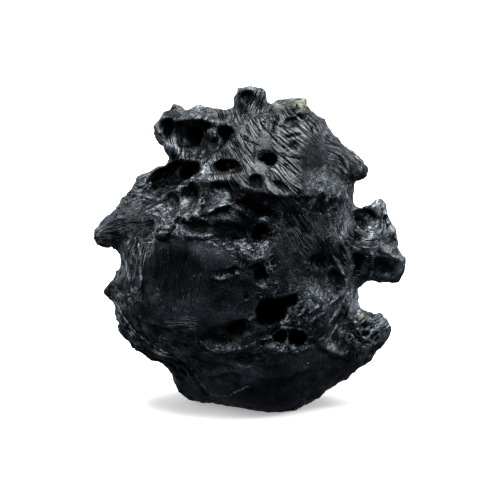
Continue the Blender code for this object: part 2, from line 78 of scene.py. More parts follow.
# The eye that looks at the front, slightly down. Places on the front are given as it sees them:
# so many millimetres right of the rock's middle, and so many above it.
EYE_DISTANCE = 450.0
EYE_RISE = math.radians(10.0)
EYE_AIM = (-0.18, 0.0, 27.94)
FRAME_WIDTH = 90.0
SENSOR_WIDTH = 36.0
UPWARD = np.array((0, math.sin(EYE_RISE), math.cos(EYE_RISE)))
TOWARD_EYE = np.array((0, -math.cos(EYE_RISE), math.sin(EYE_RISE)))

# The first skin's faces are a little wider than the last one's. Rounds of smoothing: those that take
# the solid's facets off, those that fill the front's pits and then even it out, and those after its
# forms. The front takes on a share of that evening out.
FIRST_FACES = 1.2
FACET_ROUNDING = 12
FILLING_ROUNDS = 60
EVENING_ROUNDS = 80
LAST_ROUNDING = 2
FRONT_SMOOTHING = 0.85

# Shares of their drawn sizes that the crests and hollows of the front are given. Crests and steps
# sink away at their ends over so many quarters of a millimetre. Beyond its edge a step falls off
# within its drop, in millimetres.
CREST_WIDTH = 0.9
CREST_HEIGHT = 0.65
CREST_SHARPNESS = 1.3
CREST_END = 4
HOLLOW_DEPTH = 1.4
STEP_DROP = 0.35
STEP_END = 6

# Flow lines bend by so much over waves so long. On the rest of the rock they run round it.
FLOW_BEND = 0.8
FLOW_WAVE = 5.5
REST_BEND = 3.2
REST_WAVE = 11.0
REST_ACROSS = (0.30, 0.22, 0.93)
REST_ALONG = (0.95, -0.10, -0.28)
STREAK_LENGTH = 9.0
TURN_LENGTH = 6.0

# Unevenness all over, and the widths of the crinkles with how deep their folds are.
UNEVEN_SIZE = 1.6
UNEVEN_HEIGHT = 0.07
CRINKLES = ((1.9, 2.2), (0.95, 1.1))

# Burst bubbles: usual, least and largest radius, and as shares of it the depth and the lip's height,
# distance from the middle and width. None is deeper than the deepest.
BUBBLE_RADIUS = 0.26
BUBBLE_RADII = (0.16, 1.1)
BUBBLE_DEPTH = 0.9
LIP_HEIGHT = 0.16
LIP_PLACE = 1.15
LIP_WIDTH = 0.2
DEEPEST_BUBBLE = 1.0

# How far the looks of rims, slits and facets reach beyond them, the bays in the borders of calm and
# shiny areas, how much less the back shines, and the height over its surroundings that makes a
# point as proud as can be.
RIM_REACH = 0.9
SLIT_REACH = 1.0
FACET_EDGE = 0.25
BAY_WIDTH = 4.5
BAY_DEPTH = 1.5
BACK_DULLING = 0.45
PROUD_HEIGHT = 0.12

# Colours that aren't the rock's own, the floor's reach in metres, and the share of the room's light
# that comes from right below.
BLACK = "#000000"
WHITE = "#FFFFFF"
DIM_SKY = "#E4F0FF"
FLOOR_REACH = 4.0
LOW_ROOM = 0.22

# Soft boxes: place and size in millimetres, and the setting that holds the power.
LIGHTS = (
    ("soft_box_top", (10, -60, 430), 400, "top_light"),
    ("soft_box_left", (-420, 120, 160), 180, "side_light"),
    ("soft_box_right", (420, 120, 160), 180, "side_light"),
    ("soft_box_behind", (90, 240, 440), 220, "rear_light"),
)

# Starting numbers of the patterns. Another number gives another pattern of the same kind.
FLOW_SEED = 21
REST_SEED = 31
SCALLOP_SEED = 41
CHIP_BEND_SEED = 45
UNEVEN_SEED = 47
CHIP_SEED = 48
STREAK_SEED = 51
BUBBLE_SEED = 61
CRINKLE_SEED = 71
BAY_SEED = 81

# How the melt ran on the front: place, half width and half height of the area, the way the lines
# run in degrees up from the right, and how strong they are.
STRAIGHT_FLOWS = (
    ("upper face, left", (-1.5, 18.0), (6.5, 8.5), -58, 1.0),
    ("upper face, middle", (7.0, 16.5), (7.5, 8.5), -44, 1.0),
    ("upper face, right", (14.5, 14.0), (6.0, 7.5), -30, 0.9),
    ("upper left lobe", (-10.5, 19.5), (6.5, 4.5), 84, 1.1),
    ("lobe's outer edge", (-15.8, 19.5), (2.4, 5.0), 70, 0.6),
    ("top horn", (0.5, 27.0), (3.2, 3.5), 72, 1.0),
    ("ridges under the fissure", (-19.0, 10.0), (5.0, 3.6), 24, 1.2),
    ("left horn", (-22.5, 5.0), (6.0, 4.5), 12, 0.6),
    ("shoulder", (-11.0, 5.5), (7.5, 4.5), 40, 0.15),
    ("under the ledge", (12.5, 4.0), (7.5, 5.5), -62, 0.5),
    ("middle of the belly", (1.0, 0.0), (4.5, 5.0), 78, 0.1),
    ("left crest", (-20.0, -12.0), (4.0, 7.5), -58, 0.9),
    ("lower left crest", (-13.5, -20.0), (6.0, 3.6), -32, 0.7),
    ("right of the hole", (14.0, -9.5), (4.5, 6.0), 58, 0.35),
    ("lower right lobe", (21.0, -14.5), (5.0, 5.0), 38, 0.6),
    ("lower right edge", (16.0, -21.0), (6.0, 4.0), 34, 0.3),
    ("left dish", (-14.0, -5.0), (6.5, 8.0), 82, 0.45),
    ("left dish's lower rim", (-16.0, -13.5), (7.0, 3.2), -12, 0.5),
    ("left dish's left rim", (-21.0, -3.5), (2.6, 7.0), 80, 1.0),
    ("foot", (0.0, -25.0), (9.0, 4.5), 10, 0.05),
    ("belly over the foot", (-3.0, -17.0), (7.0, 3.5), 8, 0.15),
    ("right horn", (25.5, -2.5), (3.5, 3.5), 60, 0.35),
    ("right peak", (23.5, 5.5), (3.0, 5.0), 68, 0.5),
)

# Where the lines run round a middle: place, half width and half height, the middle, strength.
ROUND_FLOWS = (
    ("neck", (18.6, 1.6), (4.4, 6.4), (21.5, 4.8), 1.1),
    ("whorls over the ledge", (14.5, 10.8), (4.5, 3.2), (12.5, 13.5), 0.9),
)

# Calm, glossy places: place, half width and half height, and how much unevenness they lose.
CALM_PLACES = (
    ("left belly", (-11.0, -7.0), (11.0, 10.5), 0.55),
    ("right of the belly", (10.5, 0.0), (6.5, 8.0), 0.6),
    ("foot", (0.0, -23.5), (14.0, 5.0), 0.6),
    ("upper face", (6.5, 17.0), (11.0, 8.0), 0.6),
    ("belly by the hole", (-4.0, -9.0), (6.5, 4.5), 0.6),
)

# Hollows of the front: place, half width, half height, depth, turn in degrees, and how far the
# deepest spot leans to the upper edge, which leaves a dark arch over a floor that faces up.
HOLLOWS = (
    ("under the lobe's rim", (-10.6, 20.2), 5.6, 3.2, 1.5, 4, 0.9),
    ("upper left cavity", (-14.2, 21.6), 2.2, 2.2, 0.5, 0, 0.5),
    ("recess in the lobe", (-9.7, 20.4), 1.4, 2.1, 1.0, 0, 0.3),
    ("oval pit in the lobe", (-4.3, 20.8), 1.8, 1.5, 1.8, -8, 0.3),
    ("fissure", (-14.0, 13.1), 5.5, 2.5, 3.2, 24, 0.4),
    ("fissure's inner end", (-10.6, 14.3), 2.0, 1.7, 1.8, 30, 0.2),
    ("between the shelf's ridges", (-17.3, 9.9), 1.8, 0.6, 0.9, -14, 0.2),
    ("under the shelf's ridges", (-22.0, 9.2), 1.7, 0.5, 0.7, 6, 0.2),
    ("tall scoop", (-10.6, 10.4), 2.0, 1.7, 0.7, 0, 0.5),
    ("wide scoop", (-5.2, 11.2), 2.3, 0.9, 0.6, -14, 0.4),
    ("outer scoop", (-14.0, 8.2), 1.5, 2.3, 0.4, 8, 0.8),
    ("scallop under the shoulder", (-9.8, 4.0), 2.8, 1.5, 0.8, 4, 0.8),
    ("dark dents", (-3.6, 14.8), 2.7, 1.5, 1.2, -10, 0.6),
    ("left dark dent", (-5.3, 14.9), 1.1, 1.4, 0.9, 0, 0.3),
    ("left arch", (1.1, 11.9), 1.4, 1.7, 1.3, 0, 0.7),
    ("right arch", (5.6, 11.2), 1.9, 0.9, 0.8, -40, 0.6),
    ("middle pit", (1.7, 3.3), 1.7, 1.3, 1.3, 4, 0.7),
    ("under the middle pit", (0.9, 1.9), 2.6, 0.7, 0.5, 0, 0.5),
    ("small tongue", (-2.5, 1.5), 1.1, 0.9, 0.7, 0, 1.0),
    ("drip pit", (2.0, -5.2), 1.4, 1.9, 0.8, 6, 1.0),
    ("light dish", (-5.0, -4.6), 2.6, 1.1, 0.2, 6, 0.8),
    ("small dish", (-2.7, -3.8), 1.0, 0.9, 0.5, 0, 1.0),
    ("rough hollow", (11.9, -2.2), 2.1, 1.4, 0.8, 10, 0.6),
    ("ragged hole", (3.7, -11.1), 2.9, 2.5, 2.6, 20, 0.1),
    ("ragged hole's corner", (7.2, -9.2), 1.5, 1.2, 1.9, 24, 0.1),
    ("left twin hole", (5.2, -15.3), 1.3, 1.4, 1.9, 0, 0.3),
    ("right twin hole", (8.4, -15.9), 1.7, 1.5, 2.0, 0, 0.4),
    ("dark hollow", (-1.6, -14.2), 2.4, 1.7, 0.8, 0, 0.5),
    ("over the light band", (-5.3, -15.9), 4.2, 2.2, 0.6, 0, 1.0),
    ("lower pit", (-0.8, -19.7), 2.2, 1.5, 1.1, 0, 0.5),
    ("crumbs by the lower pit", (2.0, -19.6), 1.2, 1.2, 0.6, 0, 1.0),
    ("facet right of the hole", (12.6, -17.0), 1.9, 2.6, 0.7, -30, 0.7),
    ("dish right of the belly", (15.4, -6.2), 1.7, 2.7, 0.7, 12, 0.7),
    ("under the peak", (20.4, 5.7), 2.5, 1.8, 1.2, 2, 0.5),
    ("neck's dish", (19.7, 2.0), 2.4, 2.2, 0.9, 0, 0.9),
    ("behind the right horn", (19.4, -3.1), 2.1, 2.5, 0.6, 0, 0.5),
    ("face of the right horn", (24.8, -3.4), 1.9, 1.7, 0.2, 0, 0.3),
    ("face of the tooth", (-24.2, -7.3), 1.5, 1.2, 0.7, 0, 0.2),
    ("under the crest, left", (-17.8, -19.0), 3.2, 1.0, 1.2, -28, 0.4),
    ("under the crest, right", (-12.6, -22.6), 3.4, 1.6, 1.2, -48, 0.3),
    ("pit under the patch", (8.0, 18.7), 1.1, 0.9, 0.5, 0, 0.4),
    ("rough patch", (7.6, 22.6), 1.7, 1.3, 0.5, 0, 0.4),
    ("bore", (3.5, 16.3), 1.55, 1.2, 3.5, 0, 0.0),
    ("face of the top horn", (-0.3, 27.4), 1.5, 1.4, 0.9, 10, 0.5),
)

# Bulges of the front: place, half width, half height, height, and how far the highest spot leans
# to the upper edge (to the lower one if negative).
BULGES = (
    ("knuckle in the lobe", (-6.7, 20.7), 1.5, 1.3, 1.0, 0.0),
    ("tongue of the shoulder", (-15.3, 4.5), 1.8, 2.3, 0.8, 0.0),
    ("dark facets", (-3.8, 5.0), 5.2, 3.4, 1.3, 0.9),
    ("belly beside the pit", (8.0, -2.0), 5.0, 6.0, 0.6, 0.8),
    ("wrinkled floor", (0.9, -0.3), 3.3, 2.9, 1.4, -0.9),
    ("tall scoop's floor", (-11.1, 7.4), 2.4, 2.4, 0.9, -0.9),
    ("wide scoop's floor", (-5.2, 9.2), 3.3, 2.2, 1.0, -0.9),
    ("upper knob", (13.0, 10.3), 0.8, 0.9, 0.6, 0.0),
    ("lower knob", (13.5, 8.6), 0.6, 0.6, 0.6, 0.0),
    ("pale top lobe", (4.9, 25.6), 1.1, 0.8, 0.5, 0.0),
)

# Crests and grooves of the front: half width, height (a groove's is negative), and the places that
# each one runs through.
CRESTS = (
    ("arc over the middle pit", 0.5, 0.8, ((0.2, 4.0), (0.5, 4.5), (1.4, 4.9), (2.3, 5.2), (3.2, 5.2))),
    ("right wall of the tall scoop", 0.5, 0.7, ((-7.7, 11.7), (-7.6, 9.9), (-7.7, 8.1), (-7.9, 6.3),
        (-8.5, 5.6))),
    ("left wall of the tall scoop", 0.4, 0.5, ((-12.1, 12.1), (-12.4, 10.4), (-12.8, 8.5),
        (-12.6, 6.8))),
    ("edge of the shoulder", 0.6, 0.9, ((-13.0, 6.8), (-13.3, 5.0), (-13.9, 3.6), (-14.8, 2.5),
        (-16.2, 2.2), (-17.1, 2.9))),
    ("edge under the scoops", 0.5, 0.7, ((-12.6, 5.6), (-10.4, 5.2), (-8.5, 5.6), (-7.6, 6.5))),
    ("rim under the scallop", 0.4, 0.4, ((-11.7, 2.9), (-10.4, 2.3), (-8.5, 2.2), (-6.8, 2.5),
        (-6.1, 3.2))),
    ("shelf's upper ridge", 0.6, 1.1, ((-21.1, 11.3), (-18.9, 11.2), (-17.1, 10.6), (-15.7, 9.7))),
    ("shelf's middle ridge", 0.6, 1.1, ((-22.7, 9.9), (-21.4, 10.6), (-20.2, 10.3), (-18.9, 9.4),
        (-17.6, 9.2))),
    ("shelf's lower ridge", 0.6, 1.1, ((-23.8, 8.6), (-22.0, 8.5), (-20.2, 9.0), (-18.0, 8.8),
        (-16.2, 9.2))),
    ("first groove of the shelf", 0.4, -0.7, ((-20.8, 11.7), (-18.7, 10.8), (-17.2, 9.9),
        (-16.0, 9.4))),
    ("second groove of the shelf", 0.4, -0.7, ((-22.5, 9.8), (-21.0, 9.9), (-19.4, 9.5), (-17.6, 8.9))),
    ("third groove of the shelf", 0.4, -0.6, ((-20.0, 12.6), (-18.4, 11.9), (-17.0, 11.2))),
    ("lip of the fissure", 0.5, 0.8, ((-17.1, 9.4), (-15.3, 9.5), (-14.0, 10.6), (-12.1, 11.9),
        (-10.4, 12.4), (-9.0, 12.6))),
    ("brow of the fissure", 0.45, 0.7, ((-14.4, 15.7), (-13.0, 16.0), (-11.2, 16.0), (-9.5, 15.8),
        (-8.6, 15.1))),
    ("rim of the lobe", 0.6, 0.7, ((-16.7, 22.7), (-15.7, 23.8), (-14.0, 23.6), (-12.6, 23.0),
        (-9.9, 23.2), (-7.2, 23.2), (-4.5, 22.7), (-2.9, 22.0))),
    ("left edge of the lobe", 0.5, 0.8, ((-16.4, 21.6), (-15.7, 20.3), (-14.8, 18.9), (-14.0, 17.5),
        (-13.9, 16.2))),
    ("first strand", 0.35, 0.6, ((-13.5, 20.5), (-13.0, 18.7), (-12.6, 16.9))),
    ("second strand", 0.35, 0.6, ((-12.1, 20.2), (-11.7, 18.7), (-11.9, 17.1))),
    ("third strand", 0.35, 0.6, ((-10.8, 19.8), (-10.8, 18.0), (-11.2, 16.6))),
    ("fourth strand", 0.35, 0.6, ((-9.2, 18.5), (-10.1, 17.6), (-10.4, 16.4))),
    ("fifth strand", 0.35, 0.6, ((-8.1, 18.0), (-9.0, 16.9), (-9.5, 15.8))),
    ("long groove", 0.35, -0.6, ((2.0, 22.9), (2.9, 21.6), (4.0, 20.5), (5.2, 19.3), (7.2, 17.6))),
    ("short groove", 0.35, -0.6, ((-1.4, 20.0), (-0.4, 19.6), (0.9, 19.3), (1.8, 18.7))),
    ("curved groove", 0.4, -0.7, ((5.9, 17.5), (6.7, 16.9), (7.7, 16.6), (9.0, 16.4))),
    ("curved rib", 0.4, 0.6, ((6.8, 18.0), (7.9, 17.3), (9.2, 16.9), (10.4, 16.9))),
    ("slit", 0.5, -1.0, ((6.3, 20.2), (7.2, 20.5), (8.5, 20.9), (9.4, 20.9))),
    ("crevice", 0.5, -1.1, ((4.3, 21.1), (4.1, 22.0), (4.7, 23.2), (5.2, 24.3))),
    ("rib of the slope", 0.35, 0.35, ((12.6, 21.6), (14.8, 19.8), (16.2, 18.0), (17.1, 15.3))),
    ("edge of the neck", 0.4, 0.4, ((18.2, 9.2), (17.1, 7.6), (16.2, 6.1), (15.7, 4.0), (15.5, 1.8),
        (15.1, -1.1))),
    ("first wrinkle", 0.5, 0.6, ((17.8, 3.6), (18.7, 2.5), (20.0, 1.8), (21.4, 1.8))),
    ("second wrinkle", 0.5, 0.6, ((17.1, 3.4), (18.0, 1.8), (19.4, 0.9), (21.2, 0.9))),
    ("third wrinkle", 0.5, 0.6, ((16.6, 3.1), (17.3, 1.4), (18.5, 0.2), (20.3, -0.2))),
    ("fourth wrinkle", 0.5, 0.6, ((16.0, 2.5), (16.6, 0.9), (17.5, -0.2), (18.9, -0.7))),
    ("rim behind the horn", 0.45, 0.9, ((22.0, 0.0), (22.1, -1.4), (22.0, -2.9), (21.8, -4.3),
        (21.4, -5.2))),
    ("top of the horn", 0.45, 0.6, ((22.5, 0.7), (23.9, -0.4), (25.4, -1.1), (27.0, -1.3))),
    ("rim of the peak", 0.45, 0.6, ((19.3, 7.4), (20.5, 7.6), (22.0, 7.7), (23.4, 7.6))),
    ("edge of the peak", 0.45, 0.7, ((22.9, 7.6), (23.0, 6.1), (22.9, 4.7), (22.3, 3.2))),
    ("vein beside the neck", 0.4, 0.7, ((14.9, -0.9), (15.7, -2.3), (16.7, -4.0), (17.5, -5.8))),
    ("vein over the lobe", 0.4, 0.7, ((17.8, -7.4), (16.6, -9.4), (15.7, -11.2), (14.6, -12.4),
        (14.0, -14.0))),
    ("first crack", 0.35, 0.6, ((10.4, -11.7), (11.0, -11.0), (11.9, -10.4), (12.6, -9.9))),
    ("second crack", 0.35, 0.6, ((13.0, -10.6), (14.0, -10.1), (14.6, -9.4), (15.8, -8.6))),
    ("rim over the twins", 0.45, 0.9, ((2.2, -16.0), (3.6, -15.8), (4.5, -14.8), (5.6, -13.9),
        (8.1, -14.0), (9.9, -14.4))),
    ("wall between the twins", 0.4, 0.7, ((6.7, -14.4), (6.7, -15.8), (6.5, -17.1))),
    ("first crack in the floor", 0.35, -0.6, ((-1.3, 0.5), (-0.3, 0.0), (0.7, -0.4))),
    ("second crack in the floor", 0.35, -0.6, ((-0.7, -1.6), (0.0, -0.9), (0.5, -0.5))),
    ("third crack in the floor", 0.35, -0.6, ((1.3, 1.6), (1.1, 0.8), (1.1, 0.0))),
    ("fourth crack in the floor", 0.35, -0.7, ((2.2, 1.3), (2.0, 0.2), (2.0, -1.1))),
    ("fifth crack in the floor", 0.35, -0.5, ((-0.2, 1.1), (0.4, 0.6), (0.9, 0.2))),
    ("edge of the light band", 0.5, 0.7, ((-9.0, -16.4), (-7.7, -17.6), (-6.3, -18.4), (-4.5, -18.4),
        (-2.2, -17.6), (0.0, -17.3))),
    ("lower left crest, upper part", 0.6, 1.0, ((-25.2, -8.5), (-23.9, -9.7), (-23.2, -11.3),
        (-22.1, -13.0), (-21.1, -14.4), (-19.4, -15.8), (-17.6, -17.1))),
    ("lower left crest, lower part", 0.6, 1.0, ((-17.6, -17.1), (-15.3, -18.4), (-13.0, -19.3),
        (-11.2, -20.3), (-9.2, -23.4), (-7.9, -25.2), (-6.7, -26.5))),
    ("rim of the left dish", 0.6, 0.8, ((-20.2, 1.3), (-19.6, -0.9), (-19.8, -3.2), (-19.6, -5.4),
        (-20.3, -8.6))),
    ("outer strand of the dish", 0.45, 0.6, ((-23.0, 0.0), (-22.3, -2.2), (-22.0, -4.5),
        (-21.1, -6.8), (-20.5, -9.0))),
    ("fold under the dish", 0.5, 0.4, ((-21.6, -10.4), (-19.8, -12.1), (-18.0, -13.1), (-15.3, -13.7))),
    ("slit by the dish", 0.4, -0.7, ((-11.0, -0.7), (-11.5, -1.6), (-12.1, -2.5))),
    ("top of the tooth", 0.4, 0.5, ((-26.0, -6.3), (-24.6, -5.6), (-23.2, -5.8))),
    ("upper layer of the lobe", 0.35, 0.6, ((18.0, -19.1), (19.4, -18.2), (21.2, -17.3))),
    ("lower layer of the lobe", 0.35, 0.6, ((18.4, -20.9), (19.8, -19.1), (21.6, -18.0),
        (23.2, -17.5))),
    ("first edge of the dark facets", 0.35, 0.35, ((-7.6, 6.8), (-6.3, 7.4), (-5.0, 8.1), (-3.6, 8.3))),
    ("second edge of the dark facets", 0.35, 0.35, ((-3.6, 8.3), (-2.2, 7.4), (-0.7, 6.3), (0.4, 5.6))),
    ("third edge of the dark facets", 0.35, 0.35, ((-7.4, 6.5), (-5.9, 5.8), (-4.1, 5.2), (-2.5, 5.0))),
    ("fourth edge of the dark facets", 0.35, 0.3, ((-2.3, 9.4), (-0.7, 9.7), (1.4, 8.5), (3.2, 7.6))),
    ("third crack", 0.35, 0.4, ((14.4, -12.4), (15.5, -11.2), (16.4, -9.9))),
    ("fourth crack", 0.35, 0.4, ((10.8, -13.0), (12.2, -11.9), (13.7, -11.0))),
    ("fifth crack", 0.35, 0.4, ((13.0, -17.3), (14.2, -15.8), (15.1, -14.4), (15.8, -13.3))),
    ("top edge of the right horn", 0.35, 0.4, ((22.5, -0.5), (24.1, -1.1), (25.9, -1.3), (27.4, -1.8),
        (27.9, -3.1))),
    ("underside of the right horn", 0.35, 0.4, ((21.8, -4.9), (23.0, -5.2), (24.7, -5.8))),
    ("top edge of the peak", 0.35, 0.4, ((18.7, 7.4), (20.5, 7.9), (22.7, 8.8), (23.9, 8.5))),
    ("outer edge of the peak", 0.35, 0.4, ((24.1, 8.1), (24.5, 6.7), (24.8, 5.0), (25.9, 3.1),
        (26.6, 1.3))),
    ("lower edge of the foot's facet", 0.3, 0.2, ((-8.8, -24.3), (-7.4, -25.7), (-5.4, -26.5),
        (-3.6, -26.1), (-1.4, -25.0), (0.5, -24.3))),
    ("arc of the bay", 0.35, 0.4, ((16.7, -9.0), (17.3, -10.4), (18.4, -11.5), (20.2, -12.1))),
)

# Crests whose edge carries a hair-thin pale line: a painted highlight, partly a chipped edge.
HIGHLIGHTED_CRESTS = (
    "arc over the middle pit", "edge under the scoops", "rim of the left dish",
    "vein beside the neck", "vein over the lobe", "first crack", "second crack", "third crack",
    "fourth crack", "fifth crack", "rim over the twins", "wall between the twins",
    "edge of the light band", "lower left crest, upper part", "lower left crest, lower part",
    "first edge of the dark facets", "second edge of the dark facets", "top edge of the right horn",
    "underside of the right horn", "top edge of the peak", "outer edge of the peak",
    "rim behind the horn", "arc of the bay", "lower edge of the foot's facet",
)

# Steps of the front: width of the side that rises gently to the edge, height, and the places that
# the edge runs through. The skin drops away on the right-hand side of the way an edge is drawn.
STEPS = (
    ("ledge", 2.6, 0.35, ((-9.0, 12.6), (-7.2, 11.9), (-5.0, 12.3), (-3.2, 12.2), (-1.4, 11.2),
        (-0.9, 10.6), (1.6, 10.7), (2.7, 9.8), (6.3, 9.5), (9.0, 9.6), (12.6, 9.4), (18.0, 9.0))),
    ("lower edge of the scoops", 2.0, 0.8, ((-17.1, 4.7), (-16.4, 3.8), (-16.9, 2.7), (-15.1, 2.0),
        (-13.7, 3.9), (-13.1, 5.4), (-10.8, 5.2), (-7.9, 6.4), (-4.0, 8.0), (-3.1, 8.3))),
    ("upper dark facet", 1.4, 0.5, ((-3.1, 8.3), (-1.6, 6.9), (-0.2, 5.8))),
    ("lower dark facet", 1.4, 0.5, ((-7.2, 4.5), (-5.0, 5.2), (-2.9, 4.9), (-1.1, 4.1))),
    ("under the scallop", 1.2, 0.4, ((-12.0, 3.1), (-10.4, 2.2), (-8.3, 2.0), (-6.3, 2.7))),
    ("tongue of the shoulder", 1.6, 0.6, ((-16.6, 3.1), (-15.5, 2.2), (-14.2, 2.9))),
    ("small tongue", 0.9, 0.5, ((-3.6, 2.0), (-2.5, 0.9), (-1.4, 1.6))),
    ("light dish", 1.0, 0.5, ((-7.4, -4.7), (-5.4, -5.5), (-3.6, -4.9))),
    ("small dish", 0.8, 0.4, ((-3.6, -3.8), (-2.6, -4.5), (-1.7, -3.8))),
    ("wrinkled floor", 1.4, 0.6, ((-1.6, 0.0), (0.0, -2.2), (1.8, -2.5), (3.4, -1.2))),
    ("drip pit", 0.9, 0.5, ((1.2, -6.1), (2.2, -7.0), (3.2, -6.3))),
    ("light band", 1.6, 0.8, ((-8.8, -16.4), (-7.2, -17.6), (-5.0, -18.2), (-2.7, -17.5),
        (-0.7, -17.5))),
    ("under the twin holes", 1.4, 0.6, ((2.0, -17.8), (5.0, -18.2), (8.1, -18.4), (10.4, -17.5))),
    ("lower left crest", 2.4, 0.9, ((-23.8, -9.9), (-22.7, -12.4), (-20.3, -15.3), (-17.5, -17.5),
        (-14.6, -19.0), (-11.6, -20.6), (-9.6, -23.4), (-7.2, -26.3))),
    ("lower rim of the left dish", 1.6, 0.2, ((-20.5, -10.8), (-17.6, -13.0), (-14.0, -14.0),
        (-10.6, -13.1))),
    ("knee right of the holes", 1.8, 0.6, ((10.4, -14.6), (12.2, -16.9), (14.4, -18.5), (17.6, -19.4))),
    ("foot's left facet", 1.8, 0.5, ((-9.4, -21.6), (-6.8, -22.4), (-3.8, -21.6), (-0.7, -22.0))),
    ("foot's right facet", 1.8, 0.5, ((-0.7, -22.0), (2.9, -22.9), (7.2, -22.3), (10.8, -20.9))),
)

# Places of the front that keep the solid's own forms: place, half width and half height, share.
KEPT_PLACES = (
    ("upper left lobe", (-11.0, 19.5), (8.0, 6.5), 0.75),
    ("fissure", (-14.0, 12.5), (6.5, 4.0), 0.6),
    ("right lobe and horn", (22.5, 0.0), (6.5, 10.0), 0.7),
    ("lower right lobe", (20.5, -15.0), (6.0, 6.0), 0.5),
    ("top horn", (0.6, 27.0), (3.5, 3.5), 0.6),
    ("lower left edge", (-18.0, -18.0), (8.0, 6.0), 0.4),
)

# Facets that cooled smooth: place, half width and half height, and how far they are evened out.
SMOOTH_PLACES = (
    ("upper face, left", (-0.5, 18.0), (4.5, 3.5), 0.9),
    ("upper face", (8.0, 15.0), (9.5, 6.0), 0.95),
    ("slope", (12.5, 19.0), (6.0, 5.0), 0.9),
    ("under the ledge", (11.5, 5.0), (6.0, 5.0), 0.9),
    ("left dish", (-14.5, -6.0), (7.0, 8.5), 0.85),
    ("right of the belly", (9.5, -2.5), (5.0, 4.0), 0.6),
    ("lower left facet", (-4.6, -23.0), (3.6, 3.6), 0.95),
    ("foot facet", (4.0, -25.5), (6.0, 3.0), 0.95),
    ("lower right facet", (13.0, -22.0), (4.5, 3.5), 0.9),
    ("left horn", (-21.5, 4.0), (5.0, 3.6), 0.6),
)

# Places crinkled like crushed foil: place, half width and half height, height of the crinkles.
CRINKLED_PLACES = (
    ("lower right lobe", (20.2, -14.6), (2.8, 3.4), 0.85),
    ("top lip", (8.5, 24.8), (2.6, 1.6), 0.35),
    ("under the holes", (7.5, -17.6), (4.0, 1.2), 0.3),
    ("right of the hole", (8.6, -11.8), (1.8, 1.6), 0.35),
    ("left of the dish", (-20.8, -8.3), (1.2, 1.4), 0.4),
    ("crumbs by the lower pit", (2.0, -19.6), (1.2, 1.2), 0.4),
    ("tongue of the shoulder", (-15.3, 4.5), (1.8, 2.4), 0.25),
    ("rough hollow", (11.9, -2.6), (2.4, 1.8), 0.3),
)

# Thin places where daylight comes through the glass, painted on as an olive colour: place on the front
# and radius.
THIN_PLACES = (
    ("left horn's under edge", (-26.3, 1.0), 1.4),
    ("top lip", (9.0, 26.8), 1.5),
    ("pale top lobe", (5.2, 26.4), 1.0),
    ("lower lobe's upper edge", (20.4, -11.2), 1.2),
    ("lower left nick", (-20.5, -17.2), 0.7),
)

# Small shifts of the outline: place, how far each reaches, and how far the skin moves across and up.
SHIFTS = (
    ("upper left corner of the top horn", (-1.7, 28.9), 0.8, (-0.4, 0.5)),
    ("top of the top horn", (1.6, 29.2), 1.0, (0.0, -0.45)),
    ("under the horn's corner", (-2.4, 28.1), 0.6, (0.4, 0.0)),
    ("base of the top horn", (-3.4, 25.6), 0.8, (0.5, 0.0)),
    ("left of the lip", (4.7, 25.9), 1.1, (0.0, 1.3)),
    ("middle of the lip", (6.0, 26.8), 0.7, (0.0, 0.4)),
    ("top of the lip", (8.2, 27.1), 0.8, (0.0, -0.45)),
    ("right of the lip", (9.2, 25.9), 1.3, (0.75, 1.1)),
    ("slope under the lip", (13.0, 22.6), 1.6, (0.4, 0.3)),
    ("middle of the slope", (16.2, 19.8), 1.8, (-0.35, -0.3)),
    ("right corner", (20.8, 14.4), 1.6, (0.6, -0.1)),
    ("under the right corner", (18.8, 12.1), 0.9, (0.0, 0.5)),
    ("top of the neck", (18.6, 10.2), 0.9, (0.4, 0.0)),
    ("slope of the peak", (21.5, 8.0), 1.9, (0.0, 0.6)),
    ("right side of the peak", (25.7, 4.3), 2.0, (-0.15, 0.0)),
    ("top of the right horn", (27.3, -0.6), 1.1, (-0.5, 0.0)),
    ("tip of the right horn", (26.1, -4.8), 1.8, (0.4, -0.5)),
    ("under the right horn", (20.5, -5.9), 0.9, (0.0, -0.5)),
    ("back wall of the bay", (19.5, -8.5), 1.6, (-0.4, 0.0)),
    ("top of the lower lobe", (23.0, -11.3), 1.6, (0.0, -0.6)),
    ("side of the lower lobe", (25.0, -15.0), 1.2, (0.3, 0.0)),
    ("under the lower lobe", (22.2, -19.2), 2.2, (-0.4, 0.5)),
    ("left edge of the foot", (-9.0, -27.1), 1.4, (0.0, -0.6)),
    ("foot", (-5.5, -27.6), 1.4, (0.0, -0.4)),
    ("over the foot", (-13.3, -25.0), 1.2, (0.3, 0.2)),
    ("end of the left crest", (-17.6, -19.5), 1.2, (-0.4, -0.4)),
    ("nick in the left crest", (-20.4, -17.5), 1.7, (-0.5, -0.6)),
    ("left crest", (-23.4, -14.1), 1.5, (-0.4, -0.1)),
    ("top of the left crest", (-24.3, -10.9), 1.4, (0.9, 0.0)),
    ("under the tooth", (-25.8, -8.6), 0.8, (-0.4, -0.3)),
    ("top of the tooth", (-25.8, -6.3), 1.1, (-0.2, 0.6)),
    ("bay over the tooth", (-24.2, -4.3), 0.9, (-0.4, 0.0)),
    ("under the left horn", (-24.2, -0.4), 1.9, (0.0, 0.9)),
    ("tip of the left horn", (-28.0, 1.6), 0.8, (0.3, 0.0)),
    ("corner of the shelf", (-23.0, 10.0), 1.2, (0.3, -0.5)),
    ("shelf", (-18.8, 13.8), 2.0, (-0.2, 0.45)),
    ("notch under the lobe", (-15.2, 16.5), 1.3, (0.9, 0.0)),
    ("left side of the lobe", (-17.2, 20.9), 1.7, (0.3, 0.0)),
    ("shoulder of the lobe", (-14.5, 25.7), 1.2, (0.0, -0.5)),
    ("top of the lobe", (-10.6, 25.4), 1.6, (0.0, 0.5)),
    ("dip beside the top horn", (-5.9, 25.6), 1.6, (0.0, -0.25)),
)
